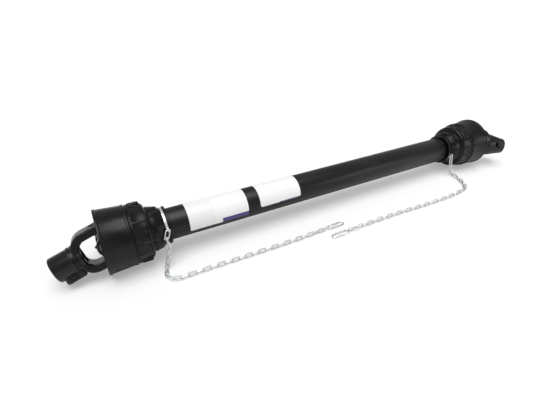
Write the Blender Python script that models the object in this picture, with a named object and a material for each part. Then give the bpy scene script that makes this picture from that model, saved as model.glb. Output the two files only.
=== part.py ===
"""Guarded PTO drive shaft, pushed together and laid down on its guard rims.

A splined tractor yoke and a bolted implement yoke hang on cross joints at the ends of two
three-lobed profile tubes, which slide in each other. Two plastic guard halves cover them:
a cone and a tube each, running on split rings in the grooves of the inner yokes. A safety
chain hooks into the groove of each cone and lies on the floor beside the shaft.

Frame: +X along the shaft from the tractor end to the implement end, +Z up, floor at z = 0.
"""
import math

import bmesh
import bpy
from mathutils import Matrix, Vector

# Overall places
RIM_TO_RIM = 1.031
SHAFT_X = -0.5146
SHAFT_Y = 0.0374
SHAFT_ROLL = math.radians(20.0)
FIT = 0.0003
ROUND = 32
SHAFT_ROUND = 24
BORE_SIDES = 12
WIRE_SIDES = 4

# Guard cone, as distances from its rim and radii
RIM_RADIUS = 0.0642
LIP_LENGTH = 0.005
LIP_STEP = 0.0012
SKIRT_LENGTH = 0.049
SKIRT_END_RADIUS = 0.0597
BEAD_WIDTH = 0.005
BEAD_HEIGHT = 0.0011
SKIRT_GROOVE_DEPTH = 0.0016
COLLAR_START = 0.057
COLLAR_END = 0.086
COLLAR_RADIUS = 0.0592
COLLAR_END_RADIUS = 0.0545
COLLAR_POCKETS = 16
COLLAR_POCKET_DEPTH = 0.0013
NECK_START = 0.0895
NECK_END = 0.112
NECK_RADIUS = 0.0465
NECK_END_RADIUS = 0.0415
COLLAR_RIB = 0.0017
GROOVE_START = 0.116
GROOVE_END = 0.1223
GROOVE_RADIUS = 0.035
FLANGE_END = 0.1268
FLANGE_RADIUS = 0.0385
CONE_WALL = 0.003
COLLAR_WALL = 0.004
COLLAR_SHOULDER = 0.003
LUG_AZIMUTH = math.radians(35.0)
LUG_LENGTH = 0.017
LUG_WIDTH = 0.021
LUG_HEIGHT = 0.0042
CLIP_LENGTH = 0.0185
CLIP_WIDTH = 0.016
CLIP_HEIGHT = 0.0055

# Guard tubes
OUTER_TUBE_RADIUS = 0.0325
OUTER_TUBE_WALL = 0.0025
INNER_TUBE_WALL = 0.0022
TUBE_START = 0.107
TUBE_END_GAP = 0.003
INNER_TUBE_FREE_END = 0.165

# Bearing rings between guard and shaft
RING_START = 0.0943
RING_WIDTH = 0.0064
RING_RADIUS = 0.038
RING_SLIT = 0.003
RING_PLAY = 0.0006

# Profile tubes
PROFILE_RADIUS = 0.0249
PROFILE_LOBE = 0.0019
PROFILE_WALL = 0.004
PROFILE_GAP = 0.0004
PROFILE_FACETS = 18
PROFILE_START = 0.078
OUTER_PROFILE_END_GAP = 0.136
INNER_PROFILE_FREE_END = 0.150
YOKE_PIN_RADIUS = 0.004
YOKE_PIN_PLACE = 0.087

# Cross joint
CROSS_INSIDE_RIM = 0.012
CROSS_BODY_RADIUS = 0.0125
CROSS_BODY_REACH = 0.0155
TRUNNION_RADIUS = 0.008
TRUNNION_PLAY = 0.0007
CAP_RADIUS = 0.0135
CAP_SPAN = 0.0746
CAP_MOUTH = 0.016
CAP_BASE = 0.003
SNAP_RING_WIDTH = 0.0015
SNAP_RING_REACH = 0.0012
SNAP_RING_RADIAL = 0.0032
SNAP_RING_STEPS = 10
NIPPLE_RADIUS = 0.0036
NIPPLE_TIP_RADIUS = 0.0022
NIPPLE_HEX_HEIGHT = 0.004
NIPPLE_REACH = 0.0245

# Yokes
EAR_GAP = 0.050
FORK_WIDTH = 0.081
EAR_WIDTH = 0.040
OUTER_THROAT = 0.047
INNER_THROAT = 0.045
THROAT_CORNER = 0.017
FORK_CORNER = 0.013
IMPLEMENT_FORK_CORNER = 0.021
FORK_BASE = 0.012
HUB_RADIUS = 0.025
HUB_STEP = 0.0015
HUB_STEP_WIDTH = 0.006
HUB_CHAMFER = 0.0025
TRACTOR_YOKE_LENGTH = 0.102
IMPLEMENT_YOKE_LENGTH = 0.108
INNER_YOKE_HUB_RADIUS = 0.0315
INNER_YOKE_END = 0.106
RING_GROOVE_RADIUS = 0.0295
SPLINE_COUNT = 6
SPLINE_ROOT_RADIUS = 0.0176
SPLINE_TIP_RADIUS = 0.0151
SPLINE_WIDTH = 0.0087
IMPLEMENT_BORE_RADIUS = 0.0175

# Swing of the outer yokes as they lie, about the inner yoke's ears and about their own
TRACTOR_DROOP = math.radians(-16.0)
TRACTOR_SWING = math.radians(0.0)
IMPLEMENT_DROOP = math.radians(17.8)
IMPLEMENT_SWING = math.radians(-29.0)

# Push pin of the tractor yoke
BOSS_START = 0.057
BOSS_LENGTH = 0.036
BOSS_HEIGHT = 0.0315
BOSS_WIDTH = 0.034
BOSS_CORNER = 0.006
PIN_PLACE = 0.079
PIN_OFFSET = 0.0222
PIN_RADIUS = 0.006
PIN_NECK_RADIUS = 0.0036
PIN_NECK_START = 0.0036
PIN_NECK_END = 0.0088
PIN_BUTTON_RADIUS = 0.0085
PIN_BUTTON_HEIGHT = 0.004
PIN_TRAVEL = 0.007
SPRING_POCKET_RADIUS = 0.0091
SPRING_POCKET_DEPTH = 0.010
SPRING_WIRE = 0.0008
SPRING_COILS = 3

# Clamp bolt of the implement yoke
SHEAR_BOLT_PLACE = 0.090
SHEAR_BOLT_RADIUS = 0.005
BOLT_HEAD_ACROSS = 0.017
BOLT_HEAD_HEIGHT = 0.0064
BOLT_END = 0.004
NUT_HEIGHT = 0.008

# Safety chains
WIRE_RADIUS = 0.0013
LINK_PITCH = 0.0149
LINK_WIRE = 0.0015
LINK_BITE = 0.0005
LINK_WIDTH = 0.0098
LINK_END_STEPS = 3
LINK_SIDES = 3
HANG_BLEND = 5
STAND_BLEND = 3
STRAP_WIDTH = 0.0050
STRAP_THICKNESS = 0.0015
STRAP_SWEEP = math.radians(215.0)
STRAP_PLAY = 0.0007
STRAP_EYE_RADIUS = 0.0055
STRAP_EYE_OUT = 0.0005
STRAP_EYE_HOLE = 0.0032
STRAP_EYE_SIDES = 10
STRAP_EYE_THICKNESS = 0.0022
STRAP_EYE_AHEAD = math.radians(5.0)
LEFT_STRAP_START = math.radians(8.0)
RIGHT_STRAP_START = math.radians(-11.0)
CONNECTOR_LENGTH = 0.0145
CONNECTOR_WIDTH = 0.0110
CONNECTOR_CORNER = 0.0016
CONNECTOR_LEAN = (-0.0040, -0.0063)
HANGER_WIRE = 0.0015
HANGER_LENGTH = 0.0500
HANGER_WIDTH = 0.0110
HANGER_LEAN = (0.0080, -0.0048)
HOOK_WIRE = 0.0016
HOOK_SLACK = 0.0031
HOOK_LENGTH = 0.047
HOOK_EYE = 0.0052
HOOK_BEND = 0.0056
HOOK_RETURN = 0.024

# Chain routes by hand: distance from the tractor rim, beside the shaft, above the floor
LEFT_ROUTE = [(0.1157, -0.0468, 0.0624), (0.1149, -0.0473, 0.0450), (0.1127, -0.0479, 0.0300),
              (0.1090, -0.0490, 0.0170), (0.1040, -0.0540, 0.0085), (0.0985, -0.0640, 0.0054),
              (0.0955, -0.0757, 0.0050), (0.0985, -0.0890, 0.0046), (0.1120, -0.0985, 0.0042),
              (0.1400, -0.0985, 0.0041), (0.1850, -0.0990, 0.0041), (0.2600, -0.1005, 0.0041),
              (0.3400, -0.1015, 0.0041), (0.4200, -0.1010, 0.0046), (0.4700, -0.0985, 0.0048)]
RIGHT_ROUTE = [(0.9196, -0.0432, 0.0131), (0.9190, -0.0560, 0.0068), (0.9170, -0.0690, 0.0056),
               (0.9120, -0.0860, 0.0052), (0.9040, -0.1020, 0.0048), (0.8960, -0.1150, 0.0043),
               (0.8850, -0.1250, 0.0042), (0.8580, -0.1315, 0.0041), (0.8000, -0.1350, 0.0041),
               (0.7200, -0.1335, 0.0041), (0.6500, -0.1300, 0.0041), (0.5800, -0.1290, 0.0043),
               (0.5000, -0.1295, 0.0048), (0.4600, -0.1290, 0.0048)]
LEFT_LINKS = 31
RIGHT_LINKS = 33

AXIS_HEIGHT = RIM_RADIUS * math.cos(math.pi / ROUND)
CAP_END = CAP_SPAN / 2
INNER_TUBE_RADIUS = OUTER_TUBE_RADIUS - OUTER_TUBE_WALL - FIT
COLORS = {
    "guard_black": ((0.018, 0.018, 0.019, 1.0), 0.45, 0.0),
    "tube_black": ((0.014, 0.014, 0.015, 1.0), 0.38, 0.0),
    "ring_nylon": ((0.62, 0.60, 0.52, 1.0), 0.50, 0.0),
    "yoke_iron": ((0.035, 0.034, 0.033, 1.0), 0.42, 0.6),
    "profile_steel": ((0.10, 0.10, 0.11, 1.0), 0.40, 0.8),
    "bearing_steel": ((0.30, 0.30, 0.31, 1.0), 0.30, 0.9),
    "zinc": ((0.62, 0.63, 0.64, 1.0), 0.32, 0.9),
}


def clear_scene():
    for thing in list(bpy.data.objects):
        bpy.data.objects.remove(thing, do_unlink=True)


def material(name):
    """Principled material of one finish, made once."""
    found = bpy.data.materials.get(name)
    if found:
        return found
    color, roughness, metallic = COLORS[name]
    made = bpy.data.materials.new(name)
    made.use_nodes = True
    shader = made.node_tree.nodes["Principled BSDF"]
    shader.inputs["Base Color"].default_value = color
    shader.inputs["Roughness"].default_value = roughness
    shader.inputs["Metallic"].default_value = metallic
    made.diffuse_color = color
    return made


def carrier(name, matrix, parent=None):
    """Empty that carries pieces on a joint axis; matrix is its place in its parent."""
    empty = bpy.data.objects.new(name, None)
    bpy.context.collection.objects.link(empty)
    empty.parent = parent
    empty.matrix_basis = matrix
    empty.empty_display_size = 0.03
    return empty


def place_in_floor(empty):
    """Place of an empty in the frame that stands on the floor."""
    place = Matrix.Identity(4)
    while empty.parent:
        place = empty.matrix_basis @ place
        empty = empty.parent
    return place


def piece(name, bm, finish=None):
    """Object from a bmesh, its faces turned outwards and its round faces shaded smooth."""
    bmesh.ops.remove_doubles(bm, verts=bm.verts, dist=1e-6)
    bmesh.ops.recalc_face_normals(bm, faces=bm.faces)
    mesh = bpy.data.meshes.new(name)
    bm.to_mesh(mesh)
    bm.free()
    made = bpy.data.objects.new(name, mesh)
    bpy.context.collection.objects.link(made)
    if finish:
        finish_piece(made, finish)
    return made


def finish_piece(made, finish, parent=None):
    made.data.materials.clear()
    made.data.materials.append(material(finish))
    made.data.shade_smooth()
    made.data.set_sharp_from_angle(angle=math.radians(40))
    made.parent = parent
    return made


def combine(body, tool, operation):
    """Cut, join or intersect body with tool, which is used up."""
    step = body.modifiers.new(operation.lower(), "BOOLEAN")
    step.operation = operation
    step.solver = "EXACT"
    step.object = tool
    graph = bpy.context.evaluated_depsgraph_get()
    mesh = bpy.data.meshes.new_from_object(body.evaluated_get(graph))
    body.modifiers.clear()
    body.data = mesh
    bpy.data.objects.remove(tool, do_unlink=True)
    return body


def cut(body, tool):
    return combine(body, tool, "DIFFERENCE")


def join(body, tool):
    return combine(body, tool, "UNION")


def moved(made, matrix):
    """Put a place into the mesh itself."""
    made.data.transform(matrix)
    made.data.update()
    return made


def turned(name, outline, segments=ROUND):
    """Solid turned about X from (x, radius) points; an outline that ends on the axis is open."""
    bm = bmesh.new()
    half_step = math.pi / segments
    start = [bm.verts.new((x, r * math.sin(half_step), r * math.cos(half_step))) for x, r in outline]
    for one, two in zip(start, start[1:]):
        bm.edges.new((one, two))
    solid_core = outline[0][1] == 0 and outline[-1][1] == 0
    if not solid_core:
        bm.edges.new((start[-1], start[0]))
    bmesh.ops.spin(bm, geom=bm.verts[:] + bm.edges[:], cent=(0, 0, 0), axis=(1, 0, 0),
                   angle=2 * math.pi, steps=segments, use_merge=True, use_duplicate=False)
    return piece(name, bm)


def rod(name, radius, start, end, segments=10):
    return turned(name, [(start, 0), (start, radius), (end, radius), (end, 0)], segments)


def prism(name, outline, low, high):
    """Solid with an (x, y) outline between two heights."""
    bm = bmesh.new()
    face = bm.faces.new([bm.verts.new((x, y, low)) for x, y in outline])
    grown = bmesh.ops.extrude_face_region(bm, geom=[face])
    tops = [v for v in grown["geom"] if isinstance(v, bmesh.types.BMVert)]
    bmesh.ops.translate(bm, verts=tops, vec=(0, 0, high - low))
    return piece(name, bm)


def block(name, low, high, bevel=0.0):
    bm = bmesh.new()
    bmesh.ops.create_cube(bm, size=1.0)
    size = Vector(high) - Vector(low)
    bmesh.ops.scale(bm, vec=size, verts=bm.verts)
    bmesh.ops.translate(bm, vec=(Vector(high) + Vector(low)) / 2, verts=bm.verts)
    if bevel:
        bmesh.ops.bevel(bm, geom=bm.edges[:], offset=bevel, affect="EDGES", segments=1,
                        profile=0.5, material=-1)
    return piece(name, bm)


def arc(center, radius, start, end, steps):
    """Points of a round stretch in a plane, both ends included."""
    turns = [start + (end - start) * i / steps for i in range(steps + 1)]
    return [(center[0] + radius * math.cos(a), center[1] + radius * math.sin(a)) for a in turns]


def wire(name, points, radius, sides, closed, side=None):
    """Round wire along points: a ring of sides at each point, bridged to the next.

    Of a loop that lies square to side, each ring has a corner towards the inside.
    """
    bm = bmesh.new()
    path = [Vector(p) for p in points]
    count = len(path)
    rings = []
    for i, point in enumerate(path):
        if closed:
            tangent = (path[(i + 1) % count] - path[i - 1]).normalized()
        else:
            tangent = (path[min(i + 1, count - 1)] - path[max(i - 1, 0)]).normalized()
        if side is None:
            side = tangent.orthogonal().normalized()
        side = (side - tangent * side.dot(tangent)).normalized()
        other = tangent.cross(side)
        turns = [2 * math.pi * k / sides - math.pi / 2 for k in range(sides)]
        rings.append([bm.verts.new(point + radius * (math.cos(a) * side + math.sin(a) * other))
                      for a in turns])
    pairs = list(zip(rings, rings[1:]))
    if closed:
        pairs.append((rings[-1], rings[0]))
    else:
        bm.faces.new(rings[0])
        bm.faces.new(rings[-1])
    for near, far in pairs:
        for k in range(sides):
            bm.faces.new((near[k], near[(k + 1) % sides], far[(k + 1) % sides], far[k]))
    return piece(name, bm)


def about_x(angle):
    return Matrix.Rotation(angle, 4, "X")


def cone_outline(bore):
    """Closed section of a guard cone from its rim, with the seat of its bearing ring."""
    bead_end = SKIRT_LENGTH + BEAD_WIDTH
    seat_end = RING_START + RING_WIDTH + FIT
    seat_radius = RING_RADIUS + RING_PLAY
    outside = [
        (0.0, RIM_RADIUS),
        (LIP_LENGTH, RIM_RADIUS),
        (LIP_LENGTH + 0.001, RIM_RADIUS - LIP_STEP),
        (SKIRT_LENGTH, SKIRT_END_RADIUS),
        (SKIRT_LENGTH + BEAD_WIDTH / 2, SKIRT_END_RADIUS + BEAD_HEIGHT),
        (bead_end, SKIRT_END_RADIUS - SKIRT_GROOVE_DEPTH),
        (COLLAR_START, COLLAR_RADIUS),
        (COLLAR_END, COLLAR_END_RADIUS),
        (NECK_START, NECK_RADIUS),
        (NECK_END, NECK_END_RADIUS),
        (GROOVE_START, GROOVE_RADIUS),
        (GROOVE_END, GROOVE_RADIUS),
        (GROOVE_END + 0.0003, FLANGE_RADIUS),
        (FLANGE_END, FLANGE_RADIUS),
    ]
    inside = [
        (FLANGE_END, bore),
        (TUBE_START - FIT, bore),
        (TUBE_START - FIT, RING_GROOVE_RADIUS + 0.0045),
        (seat_end, RING_GROOVE_RADIUS + 0.0045),
        (seat_end, seat_radius),
        (NECK_START - 0.003, seat_radius),
        (COLLAR_END - COLLAR_SHOULDER, COLLAR_END_RADIUS - COLLAR_WALL),
        (COLLAR_START, COLLAR_RADIUS - COLLAR_WALL),
        (SKIRT_LENGTH, SKIRT_END_RADIUS - CONE_WALL),
        (0.0, RIM_RADIUS - CONE_WALL),
    ]
    return outside + inside


def sink_pockets(shell, start, end, pockets, depth):
    """Sink a ring of framed pockets into the band of a cone between two places along it."""
    bm = bmesh.new()
    bm.from_mesh(shell.data)
    group = ROUND // pockets
    band = []
    for face in bm.faces:
        center = face.calc_center_median()
        out = Vector((0, center.y, center.z)).normalized()
        if start < center.x < end and face.normal.dot(out) > 0.5:
            band.append(face)
    band.sort(key=lambda f: math.atan2(f.calc_center_median().z, f.calc_center_median().y))
    for i in range(0, len(band), group):
        patch = band[i:i + group]
        bmesh.ops.inset_region(bm, faces=patch, thickness=COLLAR_RIB, depth=-depth,
                               use_even_offset=True, use_boundary=True)
    bm.to_mesh(shell.data)
    bm.free()
    return shell


def raised_pad(name, start, length, width, low, high, azimuth):
    """Rounded block that stands out of a cone at an azimuth from the top towards +Y."""
    pad = block(name, (start, -width / 2, low), (start + length, width / 2, high), bevel=0.0022)
    return moved(pad, about_x(-azimuth))


def guard_cone(name, bore, carry):
    cone = turned(name, cone_outline(bore))
    sink_pockets(cone, COLLAR_START, COLLAR_END, COLLAR_POCKETS, COLLAR_POCKET_DEPTH)
    collar_mid = (COLLAR_START + COLLAR_END - LUG_LENGTH) / 2
    collar_top = COLLAR_RADIUS + LUG_HEIGHT - 0.002
    for turn in (0, math.pi):
        join(cone, raised_pad("lug", collar_mid, LUG_LENGTH, LUG_WIDTH,
                              COLLAR_END_RADIUS - 0.0035, collar_top, LUG_AZIMUTH + turn))
    join(cone, raised_pad("clip", NECK_START + 0.002, CLIP_LENGTH, CLIP_WIDTH,
                          NECK_END_RADIUS - 0.003, NECK_RADIUS + CLIP_HEIGHT - 0.003, LUG_AZIMUTH))
    return finish_piece(cone, "guard_black", carry)


def pipe(name, start, end, radius, wall, finish, carry):
    tube = turned(name, [(start, radius), (end, radius), (end, radius - wall), (start, radius - wall)])
    return finish_piece(tube, finish, carry)


def bearing_ring(name, carry):
    """Split ring that holds a cone on the groove of an inner yoke."""
    end = RING_START + RING_WIDTH
    bore = RING_GROOVE_RADIUS + RING_PLAY
    ring = turned(name, [(RING_START, bore), (RING_START, RING_RADIUS), (end, RING_RADIUS), (end, bore)],
                  SHAFT_ROUND)
    slit = block("slit", (RING_START - 0.001, -RING_SLIT / 2, -RING_RADIUS - 0.001),
                 (end + 0.001, RING_SLIT / 2, -RING_GROOVE_RADIUS + 0.001))
    return finish_piece(cut(ring, slit), "ring_nylon", carry)


def lobed(radius, extra=0.0):
    """Three-lobed outline with one lobe up, in the plane across the shaft."""
    points = []
    for i in range(PROFILE_FACETS):
        turn = 2 * math.pi * i / PROFILE_FACETS
        reach = radius + extra + PROFILE_LOBE * math.cos(3 * turn)
        points.append((reach * math.cos(turn), reach * math.sin(turn)))
    return points


def lobed_prism(name, radius, start, end, extra=0.0):
    """Lobed solid along X, one lobe towards +Z."""
    solid = prism(name, lobed(radius, extra), start, end)
    upright = Matrix(((0, 0, 1, 0), (0, 1, 0, 0), (1, 0, 0, 0), (0, 0, 0, 1)))
    mesh = moved(solid, upright).data
    mesh.flip_normals()
    return solid


def profile_tube(name, radius, start, end, carry):
    tube = lobed_prism(name, radius, start, end)
    cut(tube, lobed_prism("bore", radius - PROFILE_WALL, start - 0.01, end + 0.01))
    hole = rod("hole", YOKE_PIN_RADIUS + FIT, -2 * radius, 2 * radius, 8)
    cut(tube, moved(hole, Matrix.Translation((CROSS_INSIDE_RIM, 0, 0)) @ yoke_pin_place()))
    return finish_piece(tube, "profile_steel", carry)


def fork_side_outline(throat, base_end, corner):
    """Side view of a fork as (along, across): both ears, the throat and its round corners."""
    half = FORK_WIDTH / 2
    gap = EAR_GAP / 2
    tip = -EAR_WIDTH / 2 - 0.001
    corner_in = (throat - THROAT_CORNER, gap - THROAT_CORNER)
    corner_out = (base_end - corner, half - corner)
    upper = [(tip, gap), (tip, half - 0.003), (tip + 0.004, half)]
    upper += arc(corner_out, corner, math.pi / 2, 0.0, 3)
    lower = [(x, -y) for x, y in reversed(upper)]
    throat_low = [(x, -y) for x, y in arc(corner_in, THROAT_CORNER, math.pi / 2, 0.0, 3)]
    throat_high = arc(corner_in, THROAT_CORNER, 0.0, math.pi / 2, 3)
    return upper + lower + throat_low + throat_high


def fork_plan_outline(base_end):
    """Plan of a fork as (along, across): round ear ends and sides that widen to the hub."""
    half = EAR_WIDTH / 2
    ends = arc((0.0, 0.0), half, 0.5 * math.pi, 1.5 * math.pi, 8)
    foot = HUB_RADIUS - 0.001
    return ends + [(base_end - 0.02, -half), (base_end, -foot), (base_end, foot), (base_end - 0.02, half)]


def fork(name, throat, corner=FORK_CORNER):
    """Two-eared fork along +X with its ears towards +Z and -Z, bored for its caps."""
    base_end = throat + FORK_BASE
    reach = FORK_WIDTH
    body = prism(name, fork_side_outline(throat, base_end, corner), -reach / 2, reach / 2)
    moved(body, about_x(math.pi / 2))
    body = combine(body, prism("plan", fork_plan_outline(base_end), -reach, reach), "INTERSECT")
    return body


def bore_ears(body):
    """Bore both ears for the caps, with a wider seat outside for the snap rings."""
    seat_radius = CAP_RADIUS + SNAP_RING_REACH + FIT
    bore = CAP_RADIUS + FIT
    near = EAR_GAP / 2 - 0.004
    far = FORK_WIDTH / 2 + 0.004
    outline = [(near, 0), (near, bore), (CAP_END, bore), (CAP_END, seat_radius), (far, seat_radius), (far, 0)]
    for side in (1, -1):
        tool = turned("ear_bore", outline, BORE_SIDES)
        cut(body, moved(tool, Matrix.Rotation(-side * math.pi / 2, 4, "Y")))
    return body


def hub_outline(start, end, radius):
    """Hub with a raised ring where it meets the fork and a chamfered mouth."""
    ring_end = start + HUB_STEP_WIDTH
    return [(start - 0.006, 0), (start - 0.006, radius + HUB_STEP), (ring_end, radius + HUB_STEP),
            (ring_end + HUB_STEP, radius), (end - HUB_CHAMFER, radius),
            (end, radius - HUB_CHAMFER), (end, 0)]


def spline_outline():
    """Bore with six straight-sided teeth, as the section across its axis."""
    points = []
    tooth = 2 * math.pi / SPLINE_COUNT
    half_root = math.asin(SPLINE_WIDTH / 2 / SPLINE_ROOT_RADIUS)
    half_tip = math.asin(SPLINE_WIDTH / 2 / SPLINE_TIP_RADIUS)
    for i in range(SPLINE_COUNT):
        middle = tooth * (i + 0.5)
        points += arc((0, 0), SPLINE_ROOT_RADIUS, middle - tooth / 2 + half_root,
                      middle + tooth / 2 - half_root, 1)
        points += arc((0, 0), SPLINE_TIP_RADIUS, middle + tooth / 2 - half_tip,
                      middle + tooth / 2 + half_tip, 1)
    return points


def tractor_yoke(carry):
    end = TRACTOR_YOKE_LENGTH
    start = OUTER_THROAT + FORK_BASE
    body = fork("tractor_yoke", OUTER_THROAT)
    join(body, turned("hub", hub_outline(start, end, HUB_RADIUS), 20))
    boss = block("boss", (BOSS_START, -BOSS_WIDTH / 2, -BOSS_HEIGHT),
                 (BOSS_START + BOSS_LENGTH, BOSS_WIDTH / 2, -0.012), bevel=BOSS_CORNER)
    join(body, boss)
    splines = moved(prism("splines", spline_outline(), OUTER_THROAT - 0.03, end + 0.01),
                    Matrix.Rotation(math.pi / 2, 4, "Y"))
    cut(body, splines)
    bore_ears(body)
    cut(body, push_pin_bore())
    return finish_piece(body, "yoke_iron", carry)


def push_pin_bore():
    """Stepped bore across the boss: a round hole, widened for the spring under the button."""
    half = BOSS_WIDTH / 2
    clear = half + 2 * PIN_TRAVEL
    outline = [(-half - 0.002, 0), (-half - 0.002, PIN_RADIUS + FIT),
               (half - SPRING_POCKET_DEPTH, PIN_RADIUS + FIT),
               (half - SPRING_POCKET_DEPTH, SPRING_POCKET_RADIUS + FIT),
               (clear, SPRING_POCKET_RADIUS + FIT), (clear, 0)]
    return moved(turned("pin_bore", outline, 12), push_pin_place())


def push_pin_place():
    """The pin lies across the yoke, its button on the side away from the chains."""
    return Matrix.Translation((PIN_PLACE, 0, -PIN_OFFSET)) @ Matrix.Rotation(-math.pi / 2, 4, "Z")


def push_pin(carry):
    half = BOSS_WIDTH / 2
    button = half + PIN_TRAVEL + 0.001
    outline = [(-half + 0.003, 0), (-half + 0.003, PIN_RADIUS), (PIN_NECK_START - 0.0015, PIN_RADIUS),
               (PIN_NECK_START, PIN_NECK_RADIUS), (PIN_NECK_END, PIN_NECK_RADIUS),
               (PIN_NECK_END + 0.0015, PIN_RADIUS), (button, PIN_RADIUS), (button, PIN_BUTTON_RADIUS),
               (button + PIN_BUTTON_HEIGHT, PIN_BUTTON_RADIUS), (button + PIN_BUTTON_HEIGHT, 0)]
    made = moved(turned("push_pin", outline, 12), push_pin_place())
    return finish_piece(made, "zinc", carry)


def push_pin_spring(carry):
    """Short coil between the pocket's floor and the button."""
    half = BOSS_WIDTH / 2
    low = half - SPRING_POCKET_DEPTH + SPRING_WIRE + FIT
    high = half + PIN_TRAVEL + 0.001 - SPRING_WIRE - FIT
    radius = (PIN_RADIUS + SPRING_POCKET_RADIUS) / 2
    steps = SPRING_COILS * 9
    points = []
    for i in range(steps + 1):
        turn = 2 * math.pi * SPRING_COILS * i / steps
        points.append((low + (high - low) * i / steps, radius * math.cos(turn), radius * math.sin(turn)))
    made = moved(wire("push_pin_spring", points, SPRING_WIRE, WIRE_SIDES, False), push_pin_place())
    return finish_piece(made, "zinc", carry)


def implement_yoke(carry):
    end = IMPLEMENT_YOKE_LENGTH
    start = OUTER_THROAT + FORK_BASE
    body = fork("implement_yoke", OUTER_THROAT, IMPLEMENT_FORK_CORNER)
    join(body, turned("hub", hub_outline(start, end, HUB_RADIUS), 20))
    cut(body, rod("bore", IMPLEMENT_BORE_RADIUS, OUTER_THROAT - 0.03, end + 0.01, 20))
    bore_ears(body)
    hole = rod("hole", SHEAR_BOLT_RADIUS + FIT, -HUB_RADIUS - 0.01, HUB_RADIUS + 0.01)
    cut(body, moved(hole, shear_bolt_place()))
    return finish_piece(body, "yoke_iron", carry)


def shear_bolt_place():
    """The bolt crosses the implement yoke's hub through its axis, head away from the chains."""
    return Matrix.Translation((SHEAR_BOLT_PLACE, 0, 0)) @ Matrix.Rotation(math.pi / 2, 4, "Z")


def hexagon(across):
    return arc((0, 0), across / math.sqrt(3), 0, 2 * math.pi * 5 / 6, 5)


def hex_block(name, across, start, end):
    return moved(prism(name, hexagon(across), start, end), Matrix.Rotation(math.pi / 2, 4, "Y"))


def shear_bolt(carry):
    seat = HUB_RADIUS + FIT
    nut_end = seat + NUT_HEIGHT
    bolt = rod("shear_bolt", SHEAR_BOLT_RADIUS, -seat - 0.001, nut_end + BOLT_END)
    join(bolt, hex_block("head", BOLT_HEAD_ACROSS, -seat - BOLT_HEAD_HEIGHT, -seat))
    nut = hex_block("shear_bolt_nut", BOLT_HEAD_ACROSS, seat, nut_end)
    cut(nut, rod("thread", SHEAR_BOLT_RADIUS + FIT, seat - 0.002, nut_end + 0.002))
    for made in (bolt, nut):
        moved(made, shear_bolt_place())
        finish_piece(made, "zinc", carry)


def inner_yoke(name, profile_radius, carry):
    """Yoke on the end of a profile tube, ears towards the cross, groove for the bearing ring."""
    start = INNER_THROAT + FORK_BASE
    groove_start = RING_START - FIT - CROSS_INSIDE_RIM
    groove_end = groove_start + RING_WIDTH + 2 * FIT
    end = INNER_YOKE_END - CROSS_INSIDE_RIM
    body = moved(fork(name, INNER_THROAT), about_x(math.pi / 2))
    hub = INNER_YOKE_HUB_RADIUS
    outline = [(start - 0.006, 0), (start - 0.006, hub - 0.003), (groove_start, hub),
               (groove_start, RING_GROOVE_RADIUS), (groove_end, RING_GROOVE_RADIUS),
               (groove_end, hub), (end, hub), (end, 0)]
    join(body, turned("hub", outline, SHAFT_ROUND))
    socket_start = PROFILE_START - CROSS_INSIDE_RIM - FIT
    cut(body, lobed_prism("socket", profile_radius, socket_start, end + 0.01, extra=FIT))
    ears = bore_ears(moved(body, about_x(-math.pi / 2)))
    moved(ears, about_x(math.pi / 2))
    reach = 2 * hub
    cut(body, moved(rod("pin_hole", YOKE_PIN_RADIUS + FIT, -reach, reach, 8), yoke_pin_place()))
    return finish_piece(body, "yoke_iron", carry)


def yoke_pin_place():
    """Roll pin upright through the inner yoke's hub and its profile tube."""
    along = YOKE_PIN_PLACE - CROSS_INSIDE_RIM
    return Matrix.Translation((along, 0, 0)) @ Matrix.Rotation(math.pi / 2, 4, "Y")


def yoke_pin(name, carry):
    reach = INNER_YOKE_HUB_RADIUS - 0.0005
    pin = moved(rod(name, YOKE_PIN_RADIUS, -reach, reach, 8), yoke_pin_place())
    return finish_piece(pin, "bearing_steel", carry)


def cross(name, carry):
    """Cross with four trunnions, in the plane of local Y and Z."""
    end = CAP_END - CAP_BASE - FIT
    outline = [(-end, 0), (-end, TRUNNION_RADIUS), (-CROSS_BODY_REACH, TRUNNION_RADIUS),
               (-CROSS_BODY_REACH, CROSS_BODY_RADIUS), (CROSS_BODY_REACH, CROSS_BODY_RADIUS),
               (CROSS_BODY_REACH, TRUNNION_RADIUS), (end, TRUNNION_RADIUS), (end, 0)]
    body = moved(turned(name, outline, BORE_SIDES), Matrix.Rotation(math.pi / 2, 4, "Y"))
    join(body, moved(turned("arm", outline, BORE_SIDES), Matrix.Rotation(math.pi / 2, 4, "Z")))
    return finish_piece(body, "bearing_steel", carry)


def nipple(name, carry):
    """Grease nipple on the face of the cross that looks at the outer yoke."""
    base = CROSS_BODY_RADIUS + FIT
    neck = base + NIPPLE_HEX_HEIGHT
    outline = [(base, 0), (base, NIPPLE_RADIUS), (neck, NIPPLE_RADIUS), (neck + 0.001, NIPPLE_TIP_RADIUS * 0.8),
               (NIPPLE_REACH - 0.004, NIPPLE_TIP_RADIUS * 0.8), (NIPPLE_REACH - 0.002, NIPPLE_TIP_RADIUS),
               (NIPPLE_REACH, NIPPLE_TIP_RADIUS * 0.5), (NIPPLE_REACH, 0)]
    return finish_piece(turned(name, outline, 6), "zinc", carry)


def cap(name, direction, carry):
    """Bearing cup over a trunnion, its closed end outwards."""
    bore = TRUNNION_RADIUS + TRUNNION_PLAY
    floor = CAP_END - CAP_BASE
    outline = [(floor, 0), (floor, bore), (CAP_MOUTH, bore), (CAP_MOUTH, CAP_RADIUS),
               (CAP_END, CAP_RADIUS), (CAP_END, 0)]
    made = turned(name, outline, BORE_SIDES)
    return finish_piece(moved(made, direction), "bearing_steel", carry)


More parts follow.
